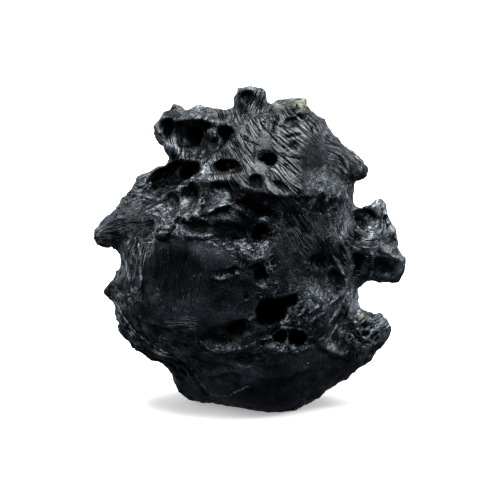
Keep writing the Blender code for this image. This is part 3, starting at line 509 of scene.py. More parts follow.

# Wider places that shine more or less than the rest, as painted light and painted shade: place,
# half width and half height, and the share of the gloss added or lost.
PAINTED_SHINES = (
    ("upper face", (4.0, 16.5), (12.0, 10.5), -0.71),
    ("between the holes", (0.6, -13.7), (3.8, 1.9), -0.5),
    ("belly by the hole", (-5.5, -8.5), (6.5, 5.5), -0.2),
    ("over the bore", (3.0, 19.4), (3.4, 2.2), -0.15),
    ("foot", (-1.0, -20.5), (12.0, 4.0), 1.7),
    ("right lobe", (23.0, 1.0), (5.5, 8.5), 0.95),
    ("lower right lobe", (21.0, -15.0), (4.5, 4.5), 0.7),
    ("right of the hole", (13.5, -11.0), (4.5, 5.5), 0.85),
    ("under the ledge", (11.0, 3.5), (8.0, 6.5), -0.3),
    ("middle of the belly", (0.0, -3.5), (5.5, 5.0), -0.3),
)

# Facets drawn as their outlines on the front, partly etched to different depths and partly given
# painted light and shade as gloss: holes and pits nearly black as painted shade, lit walls brighter
# as painted reflection. How much of the usual gloss each one has, how calm it is, and its corners.
FACETS = (
    ("bore", 0.0, 0.0, ((1.9, 16.4), (2.3, 17.1), (3.0, 17.5), (3.8, 17.5), (4.6, 17.2), (5.0, 16.5),
        (4.9, 15.7), (4.2, 15.2), (3.1, 15.2), (2.3, 15.7))),
    ("face of the top horn", 0.22, 0.1, ((-2.6, 28.4), (-0.9, 28.9), (0.9, 28.6), (1.6, 27.4),
        (0.4, 26.5), (-0.4, 24.8), (-1.8, 24.1), (-2.3, 25.9))),
    ("lobe's lit rim", 0.5, 0.2, ((-15.7, 24.3), (-14.4, 25.7), (-13.0, 26.1), (-10.4, 25.0),
        (-8.6, 25.7), (-3.4, 25.2), (-3.8, 23.4), (-9.0, 23.2), (-13.0, 23.0), (-14.8, 23.6))),
    ("lobe's cavity", 0.35, 0.3, ((-16.4, 23.2), (-14.0, 23.6), (-11.5, 22.7), (-9.0, 22.1),
        (-7.7, 20.3), (-7.9, 18.4), (-9.7, 18.7), (-11.5, 18.0), (-13.3, 20.2), (-14.8, 19.8),
        (-15.8, 21.6))),
    ("over the knuckle", 0.2, 0.0, ((-9.5, 22.3), (-8.1, 23.0), (-6.1, 23.0), (-4.5, 22.3),
        (-6.5, 21.8), (-8.5, 21.8))),
    ("knuckle in the lobe", 1.6, 0.1, ((-8.8, 21.4), (-7.4, 21.8), (-5.9, 21.4), (-5.0, 20.3),
        (-5.9, 19.4), (-7.6, 19.8))),
    ("oval pit in the lobe", 0.08, 0.0, ((-5.8, 22.1), (-4.3, 22.5), (-3.1, 22.0), (-2.7, 21.1),
        (-3.4, 20.0), (-4.9, 19.6), (-5.2, 20.9))),
    ("lobe's outer side", 1.3, 0.4, ((-17.3, 22.0), (-16.6, 21.4), (-15.5, 19.8), (-14.4, 18.0),
        (-13.9, 15.8), (-14.8, 16.6), (-16.2, 18.7), (-17.1, 20.3))),
    ("fissure", 0.1, 0.0, ((-18.0, 11.3), (-17.6, 13.0), (-16.6, 14.2), (-14.4, 15.1), (-12.6, 15.8),
        (-9.2, 16.0), (-8.8, 14.8), (-9.5, 13.7), (-11.5, 12.6), (-13.5, 10.8), (-14.8, 9.7),
        (-16.6, 10.1))),
    ("light patch over the scoops", 1.4, 0.2, ((-8.5, 15.3), (-6.8, 16.6), (-6.5, 14.8), (-5.4, 13.0),
        (-6.8, 11.5), (-8.3, 12.4), (-8.8, 13.9))),
    ("dark dents", 0.25, 0.2, ((-6.7, 15.7), (-4.5, 16.6), (-3.1, 15.8), (-2.2, 15.3), (-4.0, 14.0),
        (-5.4, 13.1), (-6.5, 14.4))),
    ("left dark dent", 0.3, 0.2, ((-3.8, 13.3), (-1.8, 13.7), (-1.4, 12.2), (-2.0, 10.8),
        (-3.2, 11.5))),
    ("tall scoop's roof", 0.5, 0.6, ((-12.6, 9.5), (-12.2, 11.0), (-11.3, 11.9), (-10.1, 12.2),
        (-9.2, 11.5), (-9.2, 9.7), (-10.8, 9.5))),
    ("tall scoop's floor", 1.45, 0.45, ((-13.1, 8.3), (-11.9, 9.4), (-10.4, 9.4), (-9.4, 8.5),
        (-9.0, 7.2), (-9.4, 5.9), (-10.8, 5.4), (-12.4, 5.8), (-13.3, 6.8))),
    ("wall of the tall scoop", 0.25, 0.2, ((-9.0, 8.5), (-7.9, 8.1), (-7.6, 7.0), (-8.5, 5.8),
        (-9.0, 6.7))),
    ("outer scoop", 1.2, 0.35, ((-15.7, 8.8), (-14.0, 10.1), (-13.1, 9.5), (-13.5, 8.3), (-13.1, 6.8),
        (-13.7, 5.8), (-15.1, 6.5), (-16.6, 5.9), (-18.0, 6.8), (-16.9, 8.3))),
    ("wide scoop's roof", 0.25, 0.3, ((-7.2, 11.3), (-5.4, 12.1), (-3.6, 12.2), (-5.0, 11.3),
        (-6.8, 10.6))),
    ("wide scoop's floor", 1.25, 0.45, ((-7.7, 8.5), (-6.8, 10.3), (-5.0, 11.3), (-2.9, 11.5),
        (-2.2, 10.3), (-2.5, 8.8), (-4.0, 8.1), (-6.3, 7.4), (-7.4, 6.8))),
    ("tongue of the shoulder", 1.5, 0.2, ((-16.7, 3.2), (-16.2, 4.7), (-14.9, 5.4), (-13.5, 5.9),
        (-13.7, 4.7), (-14.2, 3.2), (-14.9, 2.3), (-16.0, 2.2))),
    ("left horn's upper side", 1.3, 0.2, ((-23.0, 7.6), (-21.6, 8.5), (-17.1, 8.6), (-15.3, 7.9),
        (-16.6, 6.8), (-20.2, 7.2))),
    ("left horn's side", 0.75, 0.3, ((-27.0, 5.0), (-24.3, 6.8), (-20.7, 6.7), (-18.0, 4.5),
        (-18.7, 1.8), (-22.5, 1.6), (-24.8, 2.2), (-27.4, 2.9))),
    ("scallop's roof", 0.45, 0.4, ((-12.2, 5.0), (-9.9, 5.2), (-7.9, 5.0), (-6.8, 4.0), (-8.1, 3.1),
        (-10.3, 3.1), (-11.9, 3.6))),
    ("scallop's floor", 1.3, 0.2, ((-12.1, 2.7), (-9.7, 2.7), (-7.6, 3.4), (-6.5, 2.9), (-7.4, 2.0),
        (-9.7, 1.6), (-11.5, 1.8))),
    ("dark facets", 0.35, 0.4, ((-7.7, 6.5), (-6.5, 7.4), (-4.0, 8.3), (-2.2, 8.3), (-0.7, 10.1),
        (2.2, 10.6), (4.7, 9.7), (5.2, 7.9), (4.0, 6.1), (1.1, 5.6), (-0.4, 4.0), (-1.3, 1.8),
        (-4.0, 1.8), (-6.5, 2.3), (-6.3, 4.0), (-7.6, 5.2))),
    ("middle pit", 0.35, 0.0, ((-0.7, 3.6), (0.5, 4.7), (2.5, 5.0), (3.6, 4.3), (4.1, 2.7),
        (3.2, 1.6), (0.0, 1.4), (-1.3, 2.3))),
    ("wrinkled floor", 1.42, 0.1, ((-1.6, 1.3), (-0.5, 1.8), (1.4, 1.8), (3.2, 1.3), (3.4, -1.1),
        (2.7, -2.0), (1.6, -1.8), (0.9, -2.7), (0.0, -2.7), (-0.7, -1.6), (-1.6, -1.1), (-2.0, 0.0))),
    ("small tongue", 1.5, 0.3, ((-3.4, 1.8), (-2.5, 2.0), (-1.6, 1.4), (-1.6, 0.7), (-2.5, 0.5),
        (-3.2, 0.9))),
    ("drip pit", 0.5, 0.4, ((0.7, -3.8), (1.4, -3.2), (2.5, -3.2), (3.2, -4.1), (3.1, -5.2),
        (1.8, -5.6), (0.9, -5.0))),
    ("drip pit's floor", 2.4, 0.4, ((1.3, -5.6), (2.2, -5.2), (3.1, -5.6), (3.2, -6.5), (2.5, -7.0),
        (1.6, -6.7))),
    ("light dish", 1.05, 0.3, ((-7.0, -5.0), (-6.7, -4.3), (-4.7, -4.1), (-3.1, -3.6), (-1.8, -3.6),
        (-1.8, -4.5), (-2.9, -5.0), (-5.0, -5.6), (-6.7, -5.6))),
    ("left dish", 1.02, 0.65, ((-18.0, 0.7), (-13.5, 1.3), (-7.7, 0.9), (-4.3, 0.0), (-2.5, -2.5),
        (-6.8, -3.2), (-7.4, -6.1), (-5.8, -8.3), (0.0, -9.5), (-0.4, -11.9), (-4.5, -12.8),
        (-9.9, -13.5), (-15.8, -13.7), (-18.7, -12.2), (-19.3, -9.0), (-19.1, -4.5), (-19.3, -1.4))),
    ("left dish's outer strip", 1.25, 0.0, ((-21.2, 1.8), (-19.6, 1.8), (-19.3, -1.1), (-19.6, -4.0),
        (-19.3, -7.2), (-19.6, -9.4), (-20.9, -8.6), (-20.5, -5.4), (-21.1, -2.2))),
    ("ragged hole", 0.1, 0.3, ((0.7, -13.1), (1.3, -10.8), (2.2, -9.2), (5.6, -8.6), (8.5, -7.7),
        (8.6, -9.9), (7.0, -10.4), (6.8, -11.5), (6.3, -12.6), (4.7, -13.7), (2.2, -14.0))),
    ("dark hollow", 0.3, 0.4, ((-4.3, -14.0), (-2.9, -13.3), (-0.9, -13.1), (0.2, -14.4),
        (0.0, -16.4), (-1.8, -17.1), (-3.8, -16.6))),
    ("left twin hole", 0.05, 0.0, ((4.0, -16.6), (4.1, -15.3), (5.4, -14.4), (6.5, -14.4),
        (6.8, -15.5), (6.3, -16.7))),
    ("right twin hole", 0.05, 0.0, ((7.2, -16.6), (7.4, -15.3), (8.3, -14.6), (9.7, -14.6),
        (10.4, -15.7), (9.9, -16.7), (8.6, -17.3))),
    ("light band", 1.5, 0.2, ((-9.2, -16.2), (-7.6, -16.7), (-5.8, -17.1), (-2.7, -16.6),
        (-0.5, -16.2), (0.0, -17.1), (-1.8, -18.0), (-4.0, -18.2), (-6.8, -18.4), (-8.3, -17.5))),
    ("under the left crest", 0.2, 0.4, ((-17.6, -19.3), (-14.4, -19.3), (-11.5, -20.2),
        (-10.1, -21.2), (-9.5, -23.0), (-11.5, -22.7), (-14.0, -21.2))),
    ("foot's left facet", 1.9, 0.55, ((-8.5, -20.5), (-5.0, -19.4), (-1.8, -20.5), (2.2, -21.2),
        (2.2, -22.9), (-0.9, -24.5), (-4.5, -25.7), (-7.2, -26.3), (-8.6, -23.8))),
    ("foot's brown facet", 0.7, 0.55, ((2.2, -23.4), (4.5, -21.6), (9.0, -21.6), (9.9, -24.3),
        (9.0, -27.7), (5.4, -29.3), (1.4, -28.4), (-2.5, -27.4), (-0.9, -25.4))),
    ("foot's right facet", 1.6, 0.5, ((9.0, -17.3), (13.5, -16.2), (17.3, -17.1), (17.3, -19.8),
        (14.4, -22.1), (10.8, -22.7), (7.2, -21.1), (6.3, -19.4))),
    ("peak's dark panel", 0.5, 0.4, ((18.2, 7.0), (19.8, 7.2), (22.5, 7.0), (22.9, 5.6), (22.3, 4.3),
        (20.9, 4.1), (18.4, 4.5), (17.6, 5.8))),
    ("under the panel", 1.2, 0.5, ((18.0, 4.3), (21.2, 4.0), (22.7, 3.4), (21.6, 2.5), (19.4, 2.9))),
    ("neck's arcs", 1.2, 0.0, ((16.6, 4.3), (18.0, 3.1), (19.4, 1.8), (21.2, 0.7), (22.3, -0.4),
        (19.8, -0.4), (17.6, 0.9), (16.6, 2.3))),
    ("right side of the peak", 0.9, 0.5, ((23.4, 3.2), (25.2, 3.2), (26.6, 1.6), (27.0, -0.7),
        (25.6, -0.9), (24.1, 0.0), (23.2, 1.3))),
    ("behind the right horn", 1.0, 0.3, ((17.1, -1.4), (18.4, -0.4), (21.6, -0.4), (22.0, -1.8),
        (21.6, -3.6), (20.5, -4.9), (18.7, -5.6), (17.5, -4.5))),
    ("face of the right horn", 1.85, 0.4, ((22.7, -1.4), (24.5, -1.4), (26.5, -2.2), (27.4, -3.2),
        (26.6, -4.9), (24.8, -5.6), (23.2, -5.0), (22.3, -3.6))),
    ("left of the bay", 0.3, 0.2, ((16.2, -9.0), (17.1, -7.7), (17.6, -8.5), (17.5, -10.1),
        (18.5, -11.5), (17.1, -11.3), (16.2, -10.3))),
    ("back wall of the bay", 7.0, 0.2, ((17.6, -7.9), (18.4, -6.8), (19.8, -6.7), (20.0, -9.7),
        (21.2, -11.0), (19.8, -11.7), (18.4, -11.0), (17.6, -9.7))),
    ("left of the lower lobe", 0.6, 0.4, ((14.9, -12.2), (16.7, -11.5), (18.2, -13.0), (18.0, -16.7),
        (16.2, -17.8), (14.9, -16.4))),
    ("under the ledge's lip", 2.6, 0.3, ((2.2, 9.4), (7.2, 9.2), (17.1, 9.2), (17.1, 7.2),
        (14.5, 6.3), (7.2, 5.9), (4.5, 6.5), (2.7, 7.9))),
    ("fold under the lip", 1.5, 0.3, ((4.0, 8.1), (9.0, 7.9), (15.0, 8.1), (14.5, 6.7), (7.2, 6.3),
        (4.7, 6.8))),
    ("belly under the lip", 0.7, 0.3, ((4.7, 5.4), (8.0, 5.3), (14.8, 5.8), (15.8, 3.5), (14.9, 1.1),
        (9.0, 0.7), (5.6, 2.0))),
    ("neck's dark side", 0.5, 0.2, ((14.9, 8.1), (17.1, 8.5), (18.4, 6.8), (17.1, 5.0), (16.2, 3.2),
        (15.1, 4.0))),
)

# Directions and places drawn once, from which the cells of the patterns in space take theirs.
GRADIENTS = np.random.default_rng(11).normal(size=(256, 3))
GRADIENTS /= np.linalg.norm(GRADIENTS, axis=1)[:, None]
SCATTER = np.random.default_rng(12).random((1024, 3))
# Large primes that make the numbers of neighbouring cells unlike.
CELL_PRIMES = (73856093, 19349663, 83492791)
SEED_PRIME = 7919
MIXING_PRIME = 1274126177
KEPT_BITS = 0x3FFFFFFF
# Brings a swell to about -1 to 1.
SWELL_RANGE = 1.7
# Further away than any centre or edge that still matters.
FAR = 9.0


# ---------------------------------------------------------------- patterns in space


def cell_number(cells, seed):
    """A repeatable whole number for each whole-number cell."""
    mixed = (cells * CELL_PRIMES).sum(axis=1) + seed * SEED_PRIME
    mixed = (mixed ^ (mixed >> 13)) * MIXING_PRIME
    return (mixed ^ (mixed >> 16)) & KEPT_BITS


def swell(points, seed):
    """Smooth noise from about -1 to 1 with one swell per unit of length."""
    base = np.floor(points).astype(np.int64)
    inside = points - base
    fade = inside**3 * (inside * (inside * 6 - 15) + 10)
    total = np.zeros(len(points))
    for corner in itertools.product((0, 1), repeat=3):
        gradient = GRADIENTS[cell_number(base + corner, seed) % len(GRADIENTS)]
        slope = ((inside - corner) * gradient).sum(axis=1)
        total += slope * np.prod(np.where(corner, fade, 1 - fade), axis=1)
    return SWELL_RANGE * total


def layered_swell(points, seed, layers=3):
    """Several swells, each twice as fine and half as high as the one before."""
    return sum(swell(points * 2**layer, seed + layer) / 2**layer for layer in range(layers))


def warped(points, wave, reach, seed):
    """The points pushed about by a swell, so that what is drawn on them bends."""
    push = np.stack([swell(points / wave, seed + axis) for axis in range(3)], axis=1)
    return points + reach * push


def nearest_centre(points, seed):
    """Distance to the nearest of the centres scattered one to a cell, and that centre's number."""
    base = np.floor(points).astype(np.int64)
    nearest = np.full(len(points), FAR)
    owner = np.zeros(len(points), np.int64)
    for step in itertools.product((-1, 0, 1), repeat=3):
        number = cell_number(base + step, seed)
        centre = base + step + SCATTER[number % len(SCATTER)]
        gap = ((points - centre) ** 2).sum(axis=1)
        owner = np.where(gap < nearest, number, owner)
        nearest = np.minimum(nearest, gap)
    return np.sqrt(nearest), owner


def chipped(points, seed, tilt=0.9, spread=0.35, steepness=3.2):
    """Shell-shaped chips, one for each unit of length: each bowl has its own slant, up to the tilt,
    and its own depth, up to the spread, and they meet in sharp ridges. From about -1 in a bowl to 1
    on a ridge."""
    base = np.floor(points).astype(np.int64)
    lowest = np.full(len(points), FAR)
    for step in itertools.product((-1, 0, 1), repeat=3):
        number = cell_number(base + step, seed)
        gap = points - (base + step + SCATTER[number % len(SCATTER)])
        slant = SCATTER[(number >> 10) % len(SCATTER)] - 0.5
        depth = ((number >> 20) & 255) / 255
        bowl = (gap**2).sum(axis=1) + tilt * (gap * slant).sum(axis=1) + spread * depth
        lowest = np.minimum(lowest, bowl)
    return np.clip(steepness * lowest - 1, -1, 1.2)


def smooth_step(low, high, values):
    """0 up to the low value and 1 from the high one, with a soft rise between them."""
    share = np.clip((values - low) / (high - low), 0, 1)
    return share * share * (3 - 2 * share)


def seen_from_front(points):
    """Where the eye sees each point: millimetres right of the middle and above it."""
    x, y, z = (points - EYE_AIM).T
    away = 1 + (y * math.cos(EYE_RISE) - z * math.sin(EYE_RISE)) / EYE_DISTANCE
    return np.stack((x / away, (z * math.cos(EYE_RISE) + y * math.sin(EYE_RISE)) / away), axis=1)


def with_bays(view):
    """Places on the front pushed about by a swell, so that an area drawn on them has bays."""
    flat = np.column_stack((view, np.zeros(len(view)))) / BAY_WIDTH
    push = np.stack((swell(flat, BAY_SEED), swell(flat, BAY_SEED + 1)), axis=1)
    return view + BAY_DEPTH * push


def in_area(view, place, half_sizes, edge=0.45):
    """1 in the middle of an oval area of the front, fading to 0 at its border."""
    gap = (view - place) / half_sizes
    return 1 - smooth_step(1 - edge, 1 + edge, np.hypot(gap[:, 0], gap[:, 1]))


def rows_within(places, low, high):
    """The numbers of the places that lie inside a box."""
    return np.flatnonzero(((places > low) & (places < high)).all(axis=1))


def in_outline(view, corners, edge):
    """1 inside an outline drawn on the front, falling to 0 just outside it."""
    corners = np.array(corners)
    near = rows_within(view, corners.min(axis=0) - edge, corners.max(axis=0) + edge)
    places = view[near]
    inside = np.zeros(len(near), bool)
    closest = np.full(len(near), FAR)
    for start, end in zip(corners, np.roll(corners, -1, axis=0)):
        side = end - start
        along = np.clip(((places - start) @ side) / (side @ side), 0, 1)
        closest = np.minimum(closest, np.hypot(*(places - start - along[:, None] * side).T))
        spans = (start[1] > places[:, 1]) != (end[1] > places[:, 1])
        rise = side[1] if side[1] else 1e-9
        inside ^= spans & (places[:, 0] < start[0] + (places[:, 1] - start[1]) / rise * side[0])
    share = np.zeros(len(view))
    share[near] = smooth_step(-edge, edge, np.where(inside, closest, -closest))
    return share


# ---------------------------------------------------------------- the skin's mesh


def copy_of_node(name):
    """A new object with the solid's mesh."""
    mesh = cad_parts[NODE].data.copy()
    obj = bpy.data.objects.new(name, mesh)
    bpy.context.scene.collection.objects.link(obj)
    mesh.materials.clear()
    return obj


def apply_modifiers(obj):
    """Gives the object the mesh that its modifiers make, and drops them."""
    bpy.context.view_layer.update()
    graph = bpy.context.evaluated_depsgraph_get()
    made = bpy.data.meshes.new_from_object(obj.evaluated_get(graph))
    old = obj.data
    obj.modifiers.clear()
    obj.data = made
    bpy.data.meshes.remove(old)


def weld(obj):
    """The stored solid has split corners; one vertex for each place lets it be smoothed."""
    bm = bmesh.new()
    bm.from_mesh(obj.data)
    bmesh.ops.remove_doubles(bm, verts=bm.verts, dist=1e-6)
    bm.to_mesh(obj.data)
    bm.free()


def even_faces(obj, size_mm):
    """Gives the whole surface small even faces."""
    skin = obj.modifiers.new("even faces", "REMESH")
    skin.mode = "VOXEL"
    skin.voxel_size = size_mm * MM
    apply_modifiers(obj)


def round_off(obj, rounds):
    """Smooths steps and facets without shrinking the horns and lobes: each round goes in by a share
    of the way to the neighbours' mean, and then back out by a little more."""
    points = points_of(obj)
    edges = edges_of(obj)
    for _ in range(rounds):
        for share in (0.6, -0.62):
            points = points + share * (relaxed(points, edges, 1) - points)
    move_points(obj, points)


def points_of(obj):
    """The mesh's points in millimetres, one to a row."""
    values = np.empty(len(obj.data.vertices) * 3, np.float32)
    obj.data.vertices.foreach_get("co", values)
    return values.reshape(-1, 3).astype(float) / MM


def normals_of(obj):
    """The mesh's outward directions, one to a row."""
    values = np.empty(len(obj.data.vertices) * 3, np.float32)
    obj.data.vertices.foreach_get("normal", values)
    return values.reshape(-1, 3).astype(float)


def move_points(obj, points):
    obj.data.vertices.foreach_set("co", (points * MM).astype(np.float32).ravel())
    obj.data.update()


def edges_of(obj):
    """The numbers of the two points of each edge."""
    ends = np.empty(len(obj.data.edges) * 2, np.int32)
    obj.data.edges.foreach_get("vertices", ends)
    return ends.reshape(-1, 2)


def relaxed(points, edges, rounds):
    """The points after each has moved to the mean of its neighbours that many times."""
    count = np.bincount(edges.ravel(), minlength=len(points))[:, None]
    for _ in range(rounds):
        total = np.empty_like(points)
        for axis in range(3):
            values = points[:, axis]
            total[:, axis] = np.bincount(edges[:, 0], values[edges[:, 1]], len(points))
            total[:, axis] += np.bincount(edges[:, 1], values[edges[:, 0]], len(points))
        points = total / count
    return points


# ---------------------------------------------------------------- what shapes the skin


def front_share(points, normals):
    """1 where the skin faces the eye, 0 where it faces away, so that areas of the front end there."""
    return smooth_step(-0.15, 0.15, normals @ TOWARD_EYE)


def calmness(view, front):
    """How much of its unevenness each point loses: all of it where this is 1."""
    calm = np.zeros(len(view))
    ragged = with_bays(view)
    for _, place, half_sizes, loss in CALM_PLACES:
        calm = np.maximum(calm, loss * in_area(ragged, place, half_sizes, edge=0.5))
    for _, _, loss, corners in FACETS:
        share = in_outline(view, corners, FACET_EDGE)
        calm += share * (loss - calm)
    return calm * front


def streaks(across, along, depth, seed, spacing):
    """Ridges and furrows drawn out along the flow: sharp crests, round furrows, uneven spacing."""
    length = STREAK_LENGTH * spacing
    place = np.stack((across / spacing, along / length, depth / length), axis=1)
    broad = swell(place, seed)
    fine = swell(place * (2.3, 1.6, 1.6), seed + 1)
    return 1 - 2 * np.abs(broad) + 0.45 * (1 - 2 * np.abs(fine))


def flow_fields(points, view, front):
    """For each area of the front, and last for the rest: its share, and where each point lies
    across and along its lines."""
    fields = []
    push = [swell(points / FLOW_WAVE, FLOW_SEED + axis) for axis in range(2)]
    wavy = view + FLOW_BEND * np.stack(push, axis=1)
    for _, place, half_sizes, angle, strength in STRAIGHT_FLOWS:
        turn = math.radians(angle)
        along = wavy @ (math.cos(turn), math.sin(turn))
        across = wavy @ (-math.sin(turn), math.cos(turn))
        share = in_area(view, place, half_sizes, edge=0.35) * front
        fields.append((share, across, along, strength))
    for _, place, half_sizes, middle, strength in ROUND_FLOWS:
        right, up = (wavy - middle).T
        share = in_area(view, place, half_sizes, edge=0.35) * front
        fields.append((share, np.hypot(right, up), np.arctan2(up, right) * TURN_LENGTH, strength))
    total = sum(share for share, _, _, _ in fields)
    left = np.clip(1 - total, 0, 1)
    rest = warped(points, REST_WAVE, REST_BEND, REST_SEED)
    fields.append((left, rest @ REST_ACROSS, rest @ REST_ALONG, 0.8 - 0.65 * front))
    whole = np.maximum(total + left, 1e-6)
    return [(share / whole, across, along, strength) for share, across, along, strength in fields]


def first_met(tree, places):
    """Where the eye's look at each place of the front meets the rock. A look that misses is left
    out."""
    eye = EYE_AIM + EYE_DISTANCE * TOWARD_EYE
    met = []
    for across, up in places:
        place = np.array(EYE_AIM) + (across, 0, 0) + up * UPWARD
        hit = tree.ray_cast(Vector(eye * MM), Vector(place - eye).normalized())[0]
        if hit is not None:
            met.append(np.array(hit) / MM)
    return np.array(met)


def drawn_line(corners, step=0.25):
    """Places at even steps along a curve that passes close by the corners."""
    corners = np.array(corners)
    along = np.concatenate(((0,), np.cumsum(np.hypot(*np.diff(corners, axis=0).T))))
    wanted = np.linspace(0, along[-1], max(3, round(along[-1] / step)))
    line = np.stack([np.interp(wanted, along, corners[:, axis]) for axis in (0, 1)], axis=1)
    for _ in range(4):
        line[1:-1] = (line[:-2] + 2 * line[1:-1] + line[2:]) / 4
    return line


def to_ends(count):
    """For each place of a line, how many places it is from the nearer end."""
    places = np.arange(count)
    return np.minimum(places, places[::-1])


def crest_push(points, tree, crest):
    """Height that a crest or groove adds to each point: sharp on top, and lower towards its ends."""
    _, half_width, height, corners = crest
    half_width *= CREST_WIDTH
    height *= CREST_HEIGHT
    line = first_met(tree, drawn_line(corners))
    taper = np.clip(to_ends(len(line)) / CREST_END + 0.15, 0, 1)
    near = rows_within(points, line.min(axis=0) - half_width, line.max(axis=0) + half_width)
    gaps = np.linalg.norm(points[near, None] - line[None], axis=2)
    nearest = gaps.argmin(axis=1)
    gap = gaps[np.arange(len(near)), nearest] / half_width
    push = np.zeros(len(points))
    push[near] = height * taper[nearest] * np.clip(1 - gap, 0, 1) ** CREST_SHARPNESS
    return push


def step_push(points, view, tree, step):
    """Height that a step adds: it rises gently to its edge and drops sharply beyond it."""
    _, width, height, corners = step
    drawn = drawn_line(corners)
    middle = first_met(tree, drawn)
    if len(middle) < len(drawn):
        return np.zeros(len(points))
    near = rows_within(points, middle.min(axis=0) - 1.5 * width, middle.max(axis=0) + 1.5 * width)
    gap = view[near, None] - drawn[None]
    away = np.hypot(gap[..., 0], gap[..., 1])
    nearest = away.argmin(axis=1)
    rows = np.arange(len(near))
    heading = np.gradient(drawn, axis=0)[nearest]
    across = heading[:, 0] * gap[rows, nearest, 1] - heading[:, 1] * gap[rows, nearest, 0]
    away = away[rows, nearest]
    rise = np.clip(1 - np.where(across > 0, away / width, away / STEP_DROP), 0, 1)
    taper = np.clip(to_ends(len(drawn)) / STEP_END + 0.1, 0, 1)
    push = np.zeros(len(points))
    push[near] = height * rise * taper[nearest]
    return push


def hollow_push(points, view, tree, hollow):
    """How far each point goes away from the eye for a hollow with a sharp rim."""
    _, place, half_wide, half_tall, depth, turn, lean = hollow
    middle = first_met(tree, [place])
    if not len(middle):
        return np.zeros(len(points))
    angle = math.radians(turn)
    right, up = (view - place).T
    wide = (right * math.cos(angle) + up * math.sin(angle)) / half_wide
    tall = (up * math.cos(angle) - right * math.sin(angle)) / half_tall
    # The bowl is steepest at its upper rim. What lies well behind or before it doesn't move.
    bowl = np.clip(1 - wide**2 - tall**2, 0, 1) ** (0.95 - 0.4 * np.clip(tall, -1, 1))
    reach = 1.5 * max(half_wide, half_tall) + 1.5
    close = 1 - smooth_step(0.8, 1.2, np.abs(points[:, 1] - middle[0, 1]) / reach)
    return HOLLOW_DEPTH * depth * bowl * (1 + lean * tall) / (1 + 0.4 * abs(lean)) * close


def shift_outline(obj):
    """Moves the skin across the eye's view, most at each shift's own place."""
    points = points_of(obj)
    view = seen_from_front(points)
    for _, place, reach, (across, up) in SHIFTS:
        away = np.hypot(*(view - place).T) / reach
        points += np.exp(-(away**2))[:, None] * ((across, 0, 0) + up * UPWARD)
    move_points(obj, points)


def filled(points, normals, edges, rounds):
    """Raises pits to their surroundings and leaves what stands out as it is."""
    for _ in range(rounds):
        rise = ((relaxed(points, edges, 1) - points) * normals).sum(axis=1)
        points = points + normals * np.maximum(rise, 0)[:, None]
    return points


def even_front(obj):
    """Evens out the front's facets, more where they cooled smooth and less where they are kept."""
    points = points_of(obj)
    normals = normals_of(obj)
    view = seen_from_front(points)
    edges = edges_of(obj)
    even = relaxed(filled(points, normals, edges, FILLING_ROUNDS), edges, EVENING_ROUNDS)
    smooth = np.full(len(points), FRONT_SMOOTHING)
    for _, place, half_sizes, share in SMOOTH_PLACES:
        smooth = np.maximum(smooth, share * in_area(view, place, half_sizes, edge=0.3))
    for _, place, half_sizes, share in KEPT_PLACES:
        smooth *= 1 - share * in_area(view, place, half_sizes)
    front = front_share(points, normals)
    points = points + (even - points) * (smooth * front)[:, None]
    move_points(obj, points)
    return points, front


def shape_forms(obj, points, front):
    """Works the hollows, bulges, crests and steps of the front in, and gives the lines on the skin
    along which rims carry their painted highlights, partly chipped, and slits run with painted shade."""
    view = seen_from_front(points)
    tree = BVHTree.FromObject(obj, bpy.context.evaluated_depsgraph_get())
    push = np.zeros(len(points))
    for name, place, half_wide, half_tall, height, lean in BULGES:
        push -= hollow_push(points, view, tree, (name, place, half_wide, half_tall, height, 0, lean))
    for hollow in HOLLOWS:
        push += np.maximum(hollow_push(points, view, tree, hollow), 0)
    points = points - TOWARD_EYE * (push * front)[:, None]
    height = sum(crest_push(points, tree, crest) for crest in CRESTS)
    height = height + sum(step_push(points, view, tree, step) for step in STEPS)
    move_points(obj, points + normals_of(obj) * (height * front)[:, None])
    rims = [corners for name, _, _, corners in CRESTS if name in HIGHLIGHTED_CRESTS]
    slits = [corners for _, _, height, corners in CRESTS if height < 0]
    return [[first_met(tree, drawn_line(corners)) for corners in drawn] for drawn in (rims, slits)]


def bubble_push(points, filled_in, count, seed):
    """Burst bubbles of many sizes, each a round pit with a slight lip."""
    chance = np.random.default_rng(seed)
    tree = KDTree(len(points))
    for index, point in enumerate(points):
        tree.insert(point, index)
    tree.balance()
    push = np.zeros(len(points))
    for index in chance.choice(len(points), count, replace=False):
        radius = float(np.clip(BUBBLE_RADIUS * math.exp(0.5 * chance.normal()), *BUBBLE_RADII))
        if chance.random() < filled_in[index]:
            continue
        found = tree.find_range(points[index], radius * (LIP_PLACE + 2.25 * LIP_WIDTH))
        near = np.array([number for _, number, _ in found])
        gap = np.array([away for _, _, away in found]) / radius
        bowl = -BUBBLE_DEPTH * radius * np.sqrt(np.clip(1 - gap**2, 0, 1))
        lip = LIP_HEIGHT * radius * np.exp(-(((gap - LIP_PLACE) / LIP_WIDTH) ** 2))
        push[near] += bowl + lip
    return np.maximum(push, -DEEPEST_BUBBLE)


def scallop_push(points, spacing, depth, seed):
    """Round dents that meet in sharp ridges; every dent has its own depth."""
    place = warped(points, 2.2 * spacing, 0.4 * spacing, seed) / spacing
    nearest, owner = nearest_centre(place, seed)
    own_depth = 0.35 + 0.65 * (owner & 255) / 255
    return depth * own_depth * (np.minimum(nearest, 1.0) ** 2 - 0.35)


def crinkled_share(view, front):
    """How much the skin is crinkled at each point."""
    crinkled = np.zeros(len(view))
    for _, place, half_sizes, height in CRINKLED_PLACES:
        crinkled = np.maximum(crinkled, height * in_area(view, place, half_sizes, edge=0.3) * front)
    return crinkled


def chip_push(points, spacing):
    """Shell-shaped chips of two sizes."""
    wavy = warped(points, 4.0, 1.0, CHIP_BEND_SEED)
    small = chipped(wavy / (0.42 * spacing), CHIP_SEED + 1)
    return chipped(wavy / spacing, CHIP_SEED) + 0.45 * small


